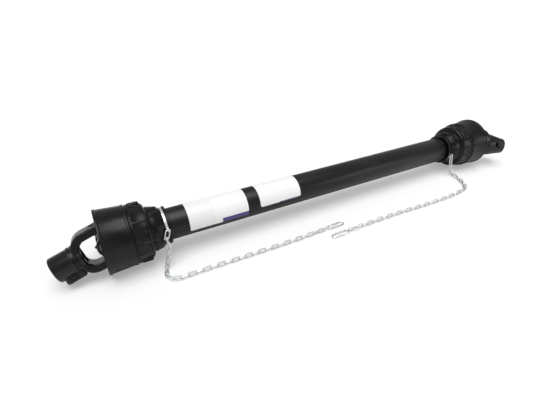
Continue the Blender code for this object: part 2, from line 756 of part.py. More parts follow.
def snap_ring(name, direction, carry):
    """Open ring that keeps a cap in its ear."""
    low = CAP_END + FIT
    radius = CAP_RADIUS + SNAP_RING_REACH
    bm = bmesh.new()
    inner = radius - SNAP_RING_RADIAL
    high = low + SNAP_RING_WIDTH
    start = math.pi / BORE_SIDES
    corners = [bm.verts.new((x, r * math.sin(start), r * math.cos(start))) for x, r in
               ((low, inner), (low, radius), (high, radius), (high, inner))]
    for i in range(4):
        bm.edges.new((corners[i], corners[(i + 1) % 4]))
    bmesh.ops.spin(bm, geom=bm.verts[:] + bm.edges[:], cent=(0, 0, 0), axis=(1, 0, 0),
                   angle=2 * math.pi * SNAP_RING_STEPS / BORE_SIDES, steps=SNAP_RING_STEPS,
                   use_merge=False, use_duplicate=False)
    bmesh.ops.holes_fill(bm, edges=[e for e in bm.edges if e.is_boundary], sides=4)
    return finish_piece(moved(piece(name, bm), direction), "bearing_steel", carry)


def caps_and_rings(names, axis, carry):
    """Caps and snap rings at both ends of one trunnion pair; axis is Y or Z of the carrier."""
    for name, side in zip(names, (1, -1)):
        if axis == "Z":
            direction = Matrix.Rotation(-side * math.pi / 2, 4, "Y")
        else:
            direction = Matrix.Rotation(side * math.pi / 2, 4, "Z")
        cap(name + "_cap", direction, carry)
        snap_ring(name + "_snap_ring", direction, carry)


def at_rim(made, side, carry):
    """Hang a piece made beside its own rim, +X along the shaft, on the guard of that side."""
    made.parent = carry
    if side == "right":
        made.matrix_parent_inverse = Matrix.Rotation(math.pi, 4, "Z")
    return made


def groove_middle(side):
    middle = (GROOVE_START + GROOVE_END) / 2
    return middle if side == "left" else -middle


def strap(side, start, carry):
    """Spring steel hook round the groove of a cone, with an eye at its near end."""
    middle = groove_middle(side)
    inner = GROOVE_RADIUS + STRAP_PLAY
    outer = inner + STRAP_THICKNESS
    half = STRAP_WIDTH / 2
    bm = bmesh.new()
    corners = [bm.verts.new((x, -r, 0)) for x, r in
               ((middle - half, inner), (middle + half, inner), (middle + half, outer), (middle - half, outer))]
    for i in range(4):
        bm.edges.new((corners[i], corners[(i + 1) % 4]))
    bmesh.ops.spin(bm, geom=bm.verts[:] + bm.edges[:], cent=(0, 0, 0), axis=(1, 0, 0),
                   angle=-STRAP_SWEEP, steps=14, use_merge=False, use_duplicate=False)
    bmesh.ops.holes_fill(bm, edges=[e for e in bm.edges if e.is_boundary], sides=4)
    band = moved(piece(side + "_chain_strap", bm), about_x(-start))
    center = strap_eye(side, start)
    thick = STRAP_EYE_THICKNESS / 2
    eye = rod("eye", STRAP_EYE_RADIUS, -thick, thick, STRAP_EYE_SIDES)
    hole = rod("hole", STRAP_EYE_HOLE, -2 * thick, 2 * thick, STRAP_EYE_SIDES)
    join(band, moved(eye, Matrix.Translation(center - strap_eye_shift(start))))
    cut(band, moved(hole, Matrix.Translation(center)))
    return at_rim(finish_piece(band, "zinc"), side, carry)


def strap_eye_shift(start):
    """How far the hole lies out from the middle of its round plate."""
    lift = start + STRAP_EYE_AHEAD
    return STRAP_EYE_OUT * Vector((0, -math.cos(lift), math.sin(lift)))


def strap_eye(side, start):
    """Centre of the eye's hole, from the rim and the shaft's axis."""
    reach = GROOVE_RADIUS + STRAP_PLAY + STRAP_EYE_RADIUS
    lift = start + STRAP_EYE_AHEAD
    plate = Vector((groove_middle(side), -reach * math.cos(lift), reach * math.sin(lift)))
    return plate + strap_eye_shift(start)


def hanging_loop(name, side, start, size, lean, radius, carry):
    """Long loop of wire with cut corners that hangs askew in the eye of a strap."""
    length, width = size
    half = width / 2 - radius
    drop = length - 2 * radius
    corner = CONNECTOR_CORNER
    shape = [(-half + corner, 0), (half - corner, 0), (half, corner), (half, drop - corner),
             (half - corner, drop), (-half + corner, drop), (-half, drop - corner), (-half, corner)]
    hold = strap_eye(side, start)
    hold.z -= STRAP_EYE_HOLE * math.cos(math.pi / STRAP_EYE_SIDES) - radius - FIT
    points = [(hold.x + x + lean[0] * down / drop, hold.y + lean[1] * down / drop, hold.z - down)
              for x, down in shape]
    made = wire(name, points, radius, WIRE_SIDES, True, Vector((0, -1, 0)))
    return at_rim(finish_piece(made, "zinc"), side, carry)


def smooth_route(points, steps=24):
    """Curve through hand-set points, as a dense list."""
    fence = [2 * Vector(points[0]) - Vector(points[1])] + [Vector(p) for p in points]
    fence.append(2 * fence[-1] - fence[-2])
    dense = []
    for a, b, c, d in zip(fence, fence[1:], fence[2:], fence[3:]):
        for i in range(steps):
            t = i / steps
            dense.append(0.5 * (2 * b + (c - a) * t + (2 * a - 5 * b + 4 * c - d) * t * t
                                + (3 * b - a - 3 * c + d) * t * t * t))
    dense.append(fence[-2])
    return dense


def link_joints(route, links):
    """Points a link pitch apart along a route, where one link bears on the next."""
    dense = smooth_route(route)
    joints = [dense[0]]
    for near, far in zip(dense, dense[1:]):
        if (far - joints[-1]).length >= LINK_PITCH:
            low, high = 0.0, 1.0
            for _ in range(20):
                middle = (low + high) / 2
                if (near.lerp(far, middle) - joints[-1]).length < LINK_PITCH:
                    low = middle
                else:
                    high = middle
            joints.append(near.lerp(far, high))
        if len(joints) == links + 1:
            break
    return joints


def link_points():
    """Centre line of one link along +X in its own plane, round at both ends."""
    bend = LINK_WIDTH / 2 - WIRE_RADIUS
    flat_end = bend * math.cos(math.pi / 2 / LINK_END_STEPS)
    straight = (LINK_PITCH - LINK_BITE) / 2 + LINK_WIRE - flat_end
    right = arc((straight, 0), bend, -math.pi / 2, math.pi / 2, LINK_END_STEPS)
    left = arc((-straight, 0), bend, math.pi / 2, 1.5 * math.pi, LINK_END_STEPS)
    return [(x, y, 0) for x, y in right + left]


def twist_to(normal, wanted, along):
    """Smallest turn about along that brings a link's normal onto the wanted line."""
    flat = (wanted - along * wanted.dot(along)).normalized()
    angle = math.atan2(normal.cross(flat).dot(along), normal.dot(flat))
    return (angle + math.pi / 2) % math.pi - math.pi / 2


def link_frames(route, links):
    """Middle, direction and normal of each link: rolled 45 degrees to either side in turn,
    and twisted near the ends, where the first hangs on a wire along X and the last stands up."""
    joints = link_joints(route, links)
    alongs = [(far - near).normalized() for near, far in zip(joints, joints[1:])]
    ups = [Vector((0, 0, 1))]
    for along in reversed(alongs[:-1]):
        ups.insert(0, (ups[0] - along * ups[0].dot(along)).normalized())
    lean = math.radians(45)
    normals = [Matrix.Rotation(lean if i % 2 else -lean, 3, alongs[i]) @ up for i, up in enumerate(ups)]
    hang = twist_to(normals[0], Vector((1, 0, 0)), alongs[0])
    stand = twist_to(normals[-1], Vector((0, 0, 1)).cross(alongs[-1]), alongs[-1])
    frames = []
    for i, (near, far) in enumerate(zip(joints, joints[1:])):
        turn = hang * max(0.0, 1 - i / HANG_BLEND) + stand * max(0.0, 1 - (links - 1 - i) / STAND_BLEND)
        frames.append((near.lerp(far, 0.5), alongs[i], Matrix.Rotation(turn, 3, alongs[i]) @ normals[i]))
    return frames


def chain(name, route, links):
    """Welded chain: every second link in one set, the others in another, then both joined."""
    sets = [[], []]
    for i, (middle, along, normal) in enumerate(link_frames(route, links)):
        turn = Matrix((along, normal.cross(along), normal)).transposed().to_4x4()
        sets[i % 2].append(Matrix.Translation(middle) @ turn)
    made = join(many_links(name, sets[0]), many_links("other_links", sets[1]))
    return finish_piece(made, "zinc")


def many_links(name, places):
    bm = bmesh.new()
    for place in places:
        link = wire("link", link_points(), LINK_WIRE, LINK_SIDES, True, Vector((0, 0, 1)))
        link.data.transform(place)
        bm.from_mesh(link.data)
        bpy.data.objects.remove(link, do_unlink=True)
    return piece(name, bm)


def hook(name, place):
    """Long open hook of wire along +X in its plane, with a small eye at the chain's end."""
    eye = [(x, y, 0) for x, y in arc((HOOK_EYE, 0), HOOK_EYE, math.radians(-50), math.radians(-320), 9)]
    far = HOOK_LENGTH - HOOK_BEND - 2 * HOOK_WIRE
    bend = [(x, y, 0) for x, y in arc((far, HOOK_BEND - HOOK_EYE), HOOK_BEND, -math.pi / 2, math.pi / 2, 6)]
    lead = [(far - 0.014, -HOOK_EYE + 0.0002, 0)]
    tail_y = 2 * HOOK_BEND - HOOK_EYE
    back = [(far - HOOK_RETURN * 0.7, tail_y - 0.001, 0), (far - HOOK_RETURN, tail_y + 0.0015, 0)]
    start = [(2 * HOOK_EYE + 0.004, -HOOK_EYE, 0)]
    path = list(reversed(eye)) + start + lead + bend + back
    made = moved(wire(name, path, HOOK_WIRE, WIRE_SIDES, False, Vector((0, 0, 1))), place)
    return finish_piece(made, "zinc")


def chain_end_place(route, links):
    """Where a hook's eye takes up the last link, the hook sloping down to the floor."""
    joints = link_joints(route, links)
    along = (joints[-1] - joints[-2]).normalized()
    start = joints[-1] - along * HOOK_SLACK
    slope = math.asin((start.z - HOOK_WIRE) / (HOOK_LENGTH - HOOK_WIRE))
    along.z = 0
    along.normalize()
    side = Vector((0, 0, 1)).cross(along)
    turn = Matrix((along, side, Vector((0, 0, 1)))).transposed().to_4x4()
    return Matrix.Translation(start) @ turn @ Matrix.Rotation(slope, 4, "Y")


def build_guards(frame_left, frame_right):
    outer_end = RIM_TO_RIM - FLANGE_END - TUBE_END_GAP
    guard_cone("left_guard_cone", OUTER_TUBE_RADIUS + FIT, frame_left)
    pipe("outer_guard_tube", TUBE_START, outer_end, OUTER_TUBE_RADIUS, OUTER_TUBE_WALL, "tube_black", frame_left)
    bearing_ring("left_bearing_ring", frame_left)
    guard_cone("right_guard_cone", INNER_TUBE_RADIUS + FIT, frame_right)
    inner_end = RIM_TO_RIM - INNER_TUBE_FREE_END
    pipe("inner_guard_tube", TUBE_START, inner_end, INNER_TUBE_RADIUS, INNER_TUBE_WALL, "tube_black", frame_right)
    bearing_ring("right_bearing_ring", frame_right)


def build_joint(side, profile_radius, droop, swing, shaft, facing):
    """Inner yoke, cross and caps of one end; returns the carrier of the outer yoke."""
    center = Matrix.Translation((CROSS_INSIDE_RIM, 0, 0))
    inner = carrier(side + "_inner_yoke_axis", center, shaft)
    inner_yoke(side + "_inner_yoke", profile_radius, inner)
    yoke_pin(side + "_yoke_pin", inner)
    inner_ends = [side + "_inner_far", side + "_inner_near"]
    caps_and_rings(inner_ends if side == "left" else inner_ends[::-1], "Y", inner)
    away = Matrix.Rotation(math.pi, 4, "Z")
    cross_carry = carrier(side + "_cross_axis", Matrix.Rotation(facing * droop, 4, "Y") @ away, inner)
    cross(side + "_cross", cross_carry)
    nipple(side + "_grease_nipple", cross_carry)
    outer = carrier(side + "_outer_yoke_axis", Matrix.Rotation(swing, 4, "Z"), cross_carry)
    caps_and_rings([side + "_outer_upper", side + "_outer_lower"], "Z", outer)
    return outer


def build_shaft(left, right):
    left_outer = build_joint("left", PROFILE_RADIUS, TRACTOR_DROOP, TRACTOR_SWING, left, 1)
    right_outer = build_joint("right", PROFILE_RADIUS - PROFILE_WALL - PROFILE_GAP,
                              IMPLEMENT_DROOP, IMPLEMENT_SWING, right, -1)
    outer_end = RIM_TO_RIM - OUTER_PROFILE_END_GAP
    profile_tube("outer_profile_tube", PROFILE_RADIUS, PROFILE_START, outer_end, left)
    inner_end = RIM_TO_RIM - INNER_PROFILE_FREE_END
    profile_tube("inner_profile_tube", PROFILE_RADIUS - PROFILE_WALL - PROFILE_GAP,
                 PROFILE_START, inner_end, right)
    tractor_yoke(left_outer)
    push_pin(left_outer)
    push_pin_spring(left_outer)
    implement_yoke(right_outer)
    shear_bolt(right_outer)


def build_chains(guard_left, guard_right):
    strap("left", LEFT_STRAP_START, guard_left)
    strap("right", RIGHT_STRAP_START, guard_right)
    hanging_loop("left_chain_connector", "left", LEFT_STRAP_START, (CONNECTOR_LENGTH, CONNECTOR_WIDTH),
                 CONNECTOR_LEAN, WIRE_RADIUS, guard_left)
    hanging_loop("right_chain_hanger", "right", RIGHT_STRAP_START, (HANGER_LENGTH, HANGER_WIDTH),
                 HANGER_LEAN, HANGER_WIRE, guard_right)
    ends = (("left", LEFT_ROUTE, LEFT_LINKS, guard_left), ("right", RIGHT_ROUTE, RIGHT_LINKS, guard_right))
    for side, route, links, guard in ends:
        made = [chain(side + "_chain", route, links),
                hook(side + "_chain_hook", chain_end_place(route, links))]
        for laid in made:
            laid.parent = guard
            laid.matrix_parent_inverse = place_in_floor(guard).inverted()


def build():
    clear_scene()
    floor = carrier("floor_place", Matrix.Translation((SHAFT_X, SHAFT_Y, 0)))
    axis = carrier("shaft_line", Matrix.Translation((0, 0, AXIS_HEIGHT)), floor)
    turn_back = Matrix.Translation((RIM_TO_RIM, 0, 0)) @ Matrix.Rotation(math.pi, 4, "Z")
    guard_left = carrier("left_guard_place", Matrix.Identity(4), axis)
    guard_right = carrier("right_guard_place", turn_back, axis)
    roll = about_x(-SHAFT_ROLL)
    shaft_left = carrier("left_shaft_place", roll, axis)
    shaft_right = carrier("right_shaft_place", turn_back @ about_x(SHAFT_ROLL), axis)
    build_guards(guard_left, guard_right)
    build_shaft(shaft_left, shaft_right)
    build_chains(guard_left, guard_right)


build()
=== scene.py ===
# %% [markdown]
# A drive shaft that carries a tractor's power to an implement. Two forked yokes swing on cross
# joints at the ends of a telescoping shaft, and black plastic guards cover everything that
# turns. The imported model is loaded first. It stays fixed, and every piece here is built round it
# in the same frame: metres, X along the shaft, Z up, and the shaft lying on its guard rims.

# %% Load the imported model
import math

import bmesh
import bpy
from mathutils import Matrix, Vector


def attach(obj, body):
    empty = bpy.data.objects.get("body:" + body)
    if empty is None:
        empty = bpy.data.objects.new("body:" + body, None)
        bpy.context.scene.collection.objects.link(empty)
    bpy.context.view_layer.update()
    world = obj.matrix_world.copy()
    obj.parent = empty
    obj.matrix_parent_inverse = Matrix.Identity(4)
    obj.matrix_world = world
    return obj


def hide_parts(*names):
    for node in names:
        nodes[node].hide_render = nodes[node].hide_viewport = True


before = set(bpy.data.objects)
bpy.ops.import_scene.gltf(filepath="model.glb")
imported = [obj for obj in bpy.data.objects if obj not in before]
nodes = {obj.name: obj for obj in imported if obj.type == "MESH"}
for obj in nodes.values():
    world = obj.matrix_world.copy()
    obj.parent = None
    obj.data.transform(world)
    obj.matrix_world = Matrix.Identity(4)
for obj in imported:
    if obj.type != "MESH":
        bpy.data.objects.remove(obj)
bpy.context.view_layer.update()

# %% [markdown]
# The places of things come from the maker's layout, so they are plain numbers: where the guard
# rims are, how the shaft is rolled inside them, and how far each outer yoke has dropped. A chain
# of matrices then carries a piece from its own simple axes to its place on the floor.

# %% Places
RIM_TO_RIM = 1.031
LEFT_RIM = Vector((-0.5146, 0.0374, 0.06389))
CROSS_INSIDE_RIM = 0.012
SHAFT_ROLL = 20.0
UP = Vector((0, 0, 1))


def slid(x, y=0.0, z=0.0):
    return Matrix.Translation((x, y, z))


def turn(degrees, axis):
    return Matrix.Rotation(math.radians(degrees), 4, axis)


guard_place = {"left": Matrix.Translation(LEFT_RIM)}
guard_place["right"] = guard_place["left"] @ slid(RIM_TO_RIM) @ turn(180, "Z")
inner_place = {"left": guard_place["left"] @ turn(-SHAFT_ROLL, "X") @ slid(CROSS_INSIDE_RIM),
               "right": guard_place["right"] @ turn(SHAFT_ROLL, "X") @ slid(CROSS_INSIDE_RIM)}
cross_place = {"left": inner_place["left"] @ turn(-16, "Y") @ turn(180, "Z"),
               "right": inner_place["right"] @ turn(-17.8, "Y") @ turn(180, "Z")}
outer_place = {"left": cross_place["left"], "right": cross_place["right"] @ turn(-29, "Z")}
for side in outer_place:
    print(side, "yoke points along", [round(v, 3) for v in outer_place[side].col[0][:3]])

# %% [markdown]
# The camera stands above the near end and looks down along the shaft, as a photographer would to
# get the whole length in. A short lens makes the near yoke large and the far one small.

# %% Camera
CAMERA_PLACE = (-0.4956, -0.6110, 0.4978)
CAMERA_LOOK = Vector((0.4063, 0.7426, -0.5324))


def in_scene(name, data):
    """New object that holds some data."""
    made = bpy.data.objects.new(name, data)
    bpy.context.collection.objects.link(made)
    return made


camera_data = bpy.data.cameras.new("camera")
camera_data.sensor_width = 36.0
camera_data.lens = 24.545
camera_data.clip_start = 0.02
camera_data.clip_end = 60.0
camera = in_scene("camera", camera_data)
look = CAMERA_LOOK.normalized()
level = look.cross(UP).normalized()
camera_axes = Matrix((level, level.cross(look), -look)).transposed().to_4x4()
camera.matrix_world = slid(*CAMERA_PLACE) @ camera_axes
bpy.context.scene.camera = camera
bpy.context.scene.view_settings.view_transform = "Standard"
print("camera at", [round(v, 3) for v in camera.location])

# %% [markdown]
# Materials are written as sums. A wire wraps one output of a node, and adding or multiplying
# wires adds the Math node for it. One method adds every other kind of node, so a finish reads
# like the recipe that it is.

# %% Wires and finishes
class Wire:
    """One output of a node, to be reckoned with like a number."""

    def __init__(self, finish, socket):
        self.finish = finish
        self.socket = socket

    def math(self, operation, *terms):
        return self.finish.node("ShaderNodeMath", {"operation": operation}, dict(enumerate(terms)))

    def __add__(self, other):
        return self.math("ADD", self, other)

    def __mul__(self, other):
        return self.math("MULTIPLY", self, other)

    def __gt__(self, other):
        return self.math("GREATER_THAN", self, other)

    def __lt__(self, other):
        return self.math("LESS_THAN", self, other)


class Finish:
    """A material with one Principled shader, and the nodes that feed it."""

    def __init__(self, name, **constant):
        self.material = bpy.data.materials.new(name)
        self.material.use_nodes = True
        self.tree = self.material.node_tree
        self.shader = self.tree.nodes["Principled BSDF"]
        for socket, value in constant.items():
            self.shader.inputs[socket.replace("_", " ")].default_value = value

    def node(self, kind, settings=None, inputs=None, output=0):
        made = self.tree.nodes.new(kind)
        for key, value in (settings or {}).items():
            setattr(made, key, value)
        for key, value in (inputs or {}).items():
            if isinstance(value, Wire):
                self.tree.links.new(value.socket, made.inputs[key])
            else:
                made.inputs[key].default_value = value
        return Wire(self, made.outputs[output])

    def feed(self, **wires):
        for socket, value in wires.items():
            self.tree.links.new(value.socket, self.shader.inputs[socket.replace("_", " ")])
        return self

    def place(self, scale=(1, 1, 1)):
        here = self.node("ShaderNodeTexCoord", output="Object")
        return self.node("ShaderNodeMapping", {}, {"Vector": here, "Scale": scale})

    def noise(self, size, detail=3.0, stretch=(1, 1, 1)):
        """Noise whose blotches are about size metres across."""
        return self.node("ShaderNodeTexNoise", {},
                         {"Vector": self.place(stretch), "Scale": 1 / size, "Detail": detail})

    def mix(self, amount, one, two):
        return self.node("ShaderNodeMix", {"data_type": "RGBA"}, {0: amount, 6: one, 7: two}, output=2)

    def ramp(self, value, low, high, dark=0.0, light=1.0):
        """A number that goes from dark to light as value goes from low to high."""
        return self.node("ShaderNodeMapRange", {"interpolation_type": "SMOOTHSTEP"},
                         {"Value": value, "From Min": low, "From Max": high,
                          "To Min": dark, "To Max": light})

    def bump(self, height, depth, strength=1.0):
        return self.node("ShaderNodeBump", {}, {"Height": height, "Distance": depth,
                                                "Strength": strength})


def gray(value, warm=0.0):
    return (value * (1 + warm), value, value * (1 - warm), 1.0)


print("a slightly warm black is", gray(0.002, 0.02))

# %% [markdown]
# The guards are moulded black polyethylene. Out of the mould it is satin, not glossy: a faint
# grain breaks up the reflection, slow unevenness lets highlights wander, and a little dust makes
# some patches greyer and duller than others.

# %% Black plastics
guard_black = Finish("guard_black", Specular_IOR_Level=0.30)
dust = guard_black.ramp(guard_black.noise(0.035, 4.0), 0.42, 0.72)
grain = guard_black.noise(0.0011, 2.0)
guard_black.feed(
    Base_Color=guard_black.mix(dust * 0.5, gray(0.0020, 0.02), gray(0.0095, 0.03)),
    Roughness=guard_black.ramp(guard_black.noise(0.02, 3.0), 0.3, 0.7, 0.23, 0.31) + dust * 0.06,
    Normal=guard_black.bump(grain * 0.35 + guard_black.noise(0.012, 2.0), 0.00035, 0.5))

tube_black = Finish("tube_black", Specular_IOR_Level=0.34)
streaks = tube_black.noise(0.004, 3.0, stretch=(0.02, 1, 1))
scuffs = tube_black.ramp(tube_black.noise(0.03, 5.0, stretch=(0.25, 1, 1)), 0.5, 0.75)
tube_black.feed(
    Base_Color=tube_black.mix(scuffs * 0.6, gray(0.0055, 0.02), gray(0.018, 0.03)),
    Roughness=tube_black.ramp(streaks, 0.35, 0.65, 0.32, 0.40) + scuffs * 0.05,
    Normal=tube_black.bump(streaks, 0.00012, 0.4))
print("plastics", guard_black.material.name, tube_black.material.name)

# %% [markdown]
# The yokes are forged steel under a thin coat of black paint. The forging skin shows through as
# a fine orange peel, and the paint is rubbed grey in small spots. The machined faces under it,
# the crosses and the bearing cups are bare steel with fine turning marks.

# %% Paint and steels
yoke_paint = Finish("yoke_paint", Specular_IOR_Level=0.42)
rub = yoke_paint.ramp(yoke_paint.noise(0.009, 6.0), 0.60, 0.76)
peel = yoke_paint.noise(0.0022, 3.0)
yoke_paint.feed(
    Base_Color=yoke_paint.mix(rub * 0.5, gray(0.0022, 0.03), gray(0.030, 0.02)),
    Roughness=yoke_paint.ramp(yoke_paint.noise(0.014, 3.0), 0.3, 0.7, 0.24, 0.36),
    Normal=yoke_paint.bump(peel + yoke_paint.noise(0.011, 2.0), 0.0005, 0.45))


def bare_steel(name, value, roughness, warm=0.0):
    """Turned or drawn steel with fine marks and a little staining."""
    steel = Finish(name, Metallic=0.92)
    stain = steel.ramp(steel.noise(0.008, 4.0), 0.4, 0.75)
    marks = steel.noise(0.0006, 2.0, stretch=(1, 0.35, 0.35))
    return steel.feed(
        Base_Color=steel.mix(stain * 0.5, gray(value, warm), gray(value * 0.62, warm + 0.04)),
        Roughness=steel.ramp(marks, 0.3, 0.7, roughness - 0.06, roughness + 0.08) + stain * 0.08,
        Normal=steel.bump(marks, 0.00006, 0.5))


bearing_steel = bare_steel("bearing_steel", 0.33, 0.34, 0.01)
blackened_steel = bare_steel("blackened_steel", 0.045, 0.42, 0.02)
profile_steel = bare_steel("profile_steel", 0.14, 0.40, 0.03)

# %% [markdown]
# Chains, hooks, straps and bolts are zinc plated. Bright zinc is a pale bluish grey, and its
# passivation leaves a thin tint that drifts from greenish to blue from one link to the next.

# %% Zinc and nylon
zinc = Finish("zinc", Metallic=0.80)
drift = zinc.ramp(zinc.noise(0.02, 2.0), 0.35, 0.65)
frost = zinc.noise(0.0016, 3.0)
tint = zinc.mix(drift, (0.77, 0.81, 0.78, 1), (0.80, 0.81, 0.84, 1))
zinc.feed(
    Base_Color=zinc.mix(zinc.ramp(frost, 0.5, 0.8, 0.0, 0.4), tint, gray(0.52)),
    Roughness=zinc.ramp(frost, 0.3, 0.7, 0.26, 0.42),
    Normal=zinc.bump(frost, 0.00008, 0.5))

nylon = Finish("nylon", Subsurface_Weight=0.1)
nylon.feed(Base_Color=nylon.mix(nylon.noise(0.006, 3.0), (0.60, 0.57, 0.47, 1), (0.68, 0.66, 0.58, 1)),
           Roughness=nylon.ramp(nylon.noise(0.002, 2.0), 0.3, 0.7, 0.42, 0.52))
print("metals", zinc.material.name, bearing_steel.material.name)

# %% [markdown]
# Every piece ends the same way: its outline or solid is placed by a matrix, its faces are made to
# point outwards, and edges sharper than about 35 degrees stay crisp while the rest is smooth.
# The finished object sits at the origin with its place in its mesh, as the model's own nodes do.

# %% Finishing a piece
SHARP = math.radians(35)


def to_object(name, bm, place=None):
    """Object from a bmesh, which is used up."""
    if place is not None:
        bmesh.ops.transform(bm, matrix=place, verts=bm.verts)
    bmesh.ops.remove_doubles(bm, verts=bm.verts, dist=1e-6)
    bmesh.ops.recalc_face_normals(bm, faces=bm.faces)
    mesh = bpy.data.meshes.new(name)
    bm.to_mesh(mesh)
    bm.free()
    return in_scene(name, mesh)


def dress(made, finish, slot, body, *replaced, sharp=SHARP):
    """Finish, smooth shading, the body it rides on and the nodes it stands for."""
    if not made.data.materials:
        made.data.materials.append(finish.material)
    made.data.shade_smooth()
    made.data.set_sharp_from_angle(angle=sharp)
    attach(made, body)
    if replaced:
        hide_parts(*replaced)
    made.data.calc_loop_triangles()
    print(made.name, len(made.data.loop_triangles), "triangles")
    return made


def with_modifier(made, kind, **settings):
    """Add a modifier and keep its result as the mesh."""
    step = made.modifiers.new(kind.lower(), kind)
    for key, value in settings.items():
        setattr(step, key, value)
    graph = bpy.context.evaluated_depsgraph_get()
    mesh = bpy.data.meshes.new_from_object(made.evaluated_get(graph))
    made.modifiers.clear()
    made.data = mesh
    return made


def combine(body, tool, operation):
    """Join, cut or intersect two solids; the tool is used up."""
    with_modifier(body, "BOOLEAN", operation=operation, solver="EXACT", object=tool)
    bpy.data.objects.remove(tool, do_unlink=True)
    return body


def join(body, bm, place=None):
    return combine(body, to_object("part", bm, place), "UNION")


print("edges stay crisp past", round(math.degrees(SHARP)), "degrees")

# %% [markdown]
# Most parts here are turned: an outline of distances along the axis and radii is spun round X.
# Soft edges come from a bevel on whatever is still sharp after the spin.

# %% Turned and sawn shapes
ROUND = 96


def arc(center, radius, start, end, steps):
    turns = [start + (end - start) * i / steps for i in range(steps + 1)]
    return [(center[0] + radius * math.cos(a), center[1] + radius * math.sin(a)) for a in turns]


def soften(bm, width, segments=2, sharp=math.radians(28)):
    edges = [e for e in bm.edges if len(e.link_faces) == 2 and e.calc_face_angle() > sharp]
    bmesh.ops.bevel(bm, geom=edges, offset=width, segments=segments, profile=0.5,
                    affect="EDGES", clamp_overlap=True, material=-1)
    return bm


def turned(outline, steps=ROUND, sweep=360.0):
    """Solid spun about X from (along, radius) points."""
    bm = bmesh.new()
    line = [bm.verts.new((x, 0, r)) for x, r in outline]
    for one, two in zip(line, line[1:]):
        bm.edges.new((one, two))
    if outline[0][1] > 0:
        bm.edges.new((line[-1], line[0]))
    full = sweep == 360.0
    bmesh.ops.spin(bm, geom=bm.verts[:] + bm.edges[:], cent=(0, 0, 0), axis=(1, 0, 0),
                   angle=math.radians(sweep), steps=steps, use_merge=full, use_duplicate=False)
    if not full:
        bmesh.ops.holes_fill(bm, edges=[e for e in bm.edges if e.is_boundary], sides=len(line))
    bmesh.ops.remove_doubles(bm, verts=bm.verts, dist=1e-6)
    bmesh.ops.recalc_face_normals(bm, faces=bm.faces)
    return bm


def sawn(outline, low, high):
    """Solid with an (x, y) outline between two heights."""
    bm = bmesh.new()
    face = bm.faces.new([bm.verts.new((x, y, low)) for x, y in outline])
    grown = bmesh.ops.extrude_face_region(bm, geom=[face])
    tops = [v for v in grown["geom"] if isinstance(v, bmesh.types.BMVert)]
    bmesh.ops.translate(bm, verts=tops, vec=(0, 0, high - low))
    bmesh.ops.recalc_face_normals(bm, faces=bm.faces)
    return bm


def slab(low, high, edge, segments=4):
    """Block between two corners with rounded edges."""
    bm = bmesh.new()
    bmesh.ops.create_cube(bm, size=1.0)
    bmesh.ops.scale(bm, vec=Vector(high) - Vector(low), verts=bm.verts)
    bmesh.ops.translate(bm, vec=(Vector(high) + Vector(low)) / 2, verts=bm.verts)
    bmesh.ops.bevel(bm, geom=bm.edges[:], offset=edge, segments=segments, profile=0.5,
                    affect="EDGES", material=-1)
    return bm


print("rounds have", ROUND, "sides")

# %% [markdown]
# A guard cone is one hollow moulding. From its mouth it has a lip, a plain skirt, a bead with a
# groove, a collar, a narrower neck, a groove for the chain's strap and a small flange. The whole
# section, outside and inside, is one closed outline of distances from the mouth and radii.

# %% The cone's section
GROOVE_START = 0.116
GROOVE_END = 0.1223
GROOVE_RADIUS = 0.035
FLANGE_END = 0.1268

cone_outside = [
    (0.0000, 0.0636), (0.0006, 0.0642), (0.0044, 0.0642), (0.0050, 0.0638), (0.0056, 0.0631),
    (0.0478, 0.0599), (0.0490, 0.0599), (0.0498, 0.0606), (0.0508, 0.0609), (0.0532, 0.0609),
    (0.0541, 0.0604), (0.0545, 0.0585), (0.0552, 0.0581), (0.0562, 0.0582), (0.0567, 0.0590),
    (0.0580, 0.0592), (0.0845, 0.0549), (0.0860, 0.0542), (0.0873, 0.0530), (0.0885, 0.0508),
    (0.0893, 0.0470), (0.0899, 0.0456), (0.0912, 0.0451), (0.1100, 0.0408), (0.1120, 0.0402),
    (0.1138, 0.0392), (0.1154, 0.0358), (0.1162, 0.0350), (0.1221, 0.0350), (0.1224, 0.0356),
    (0.1225, 0.0380), (0.1230, 0.0385), (0.1263, 0.0385), (0.1268, 0.0381)]


def cone_inside(bore):
    return [(FLANGE_END, bore), (0.1067, bore), (0.1067, 0.0340), (0.1010, 0.0340),
            (0.1010, 0.0386), (0.0865, 0.0386), (0.0850, 0.0420), (0.0830, 0.0495),
            (0.0560, 0.0545), (0.0500, 0.0568), (0.0030, 0.0612), (0.0008, 0.0614)]


print("the cone is", FLANGE_END, "long and", 2 * max(r for _, r in cone_outside), "across")

# %% [markdown]
# Spinning that section gives a plain cone. On the real one the collar has sixteen shallow pockets
# between ribs, and the neck has six raised panels. One inset frames each group of faces, and a
# second sinks what is inside, or raises it. Two lugs and a clip are rounded blocks joined on.

# %% Guard cones
OUTER_TUBE_RADIUS = 0.0325
INNER_TUBE_RADIUS = 0.0297
FIT = 0.0003
COLLAR_BAND = (0.062, 0.080)
NECK_BAND = (0.095, 0.108)
LUG = ((0.0600, -0.0125, 0.050), (0.0838, 0.0125, 0.0598))
LUG_AZIMUTH = 35.0
CLIP = ((0.0905, -0.0100, 0.0385), (0.1108, 0.0100, 0.0450))
CLIP_STOP = ((0.0880, 0.0115, 0.0385), (0.0925, 0.0150, 0.0452))
CLIP_AZIMUTH = -5.0


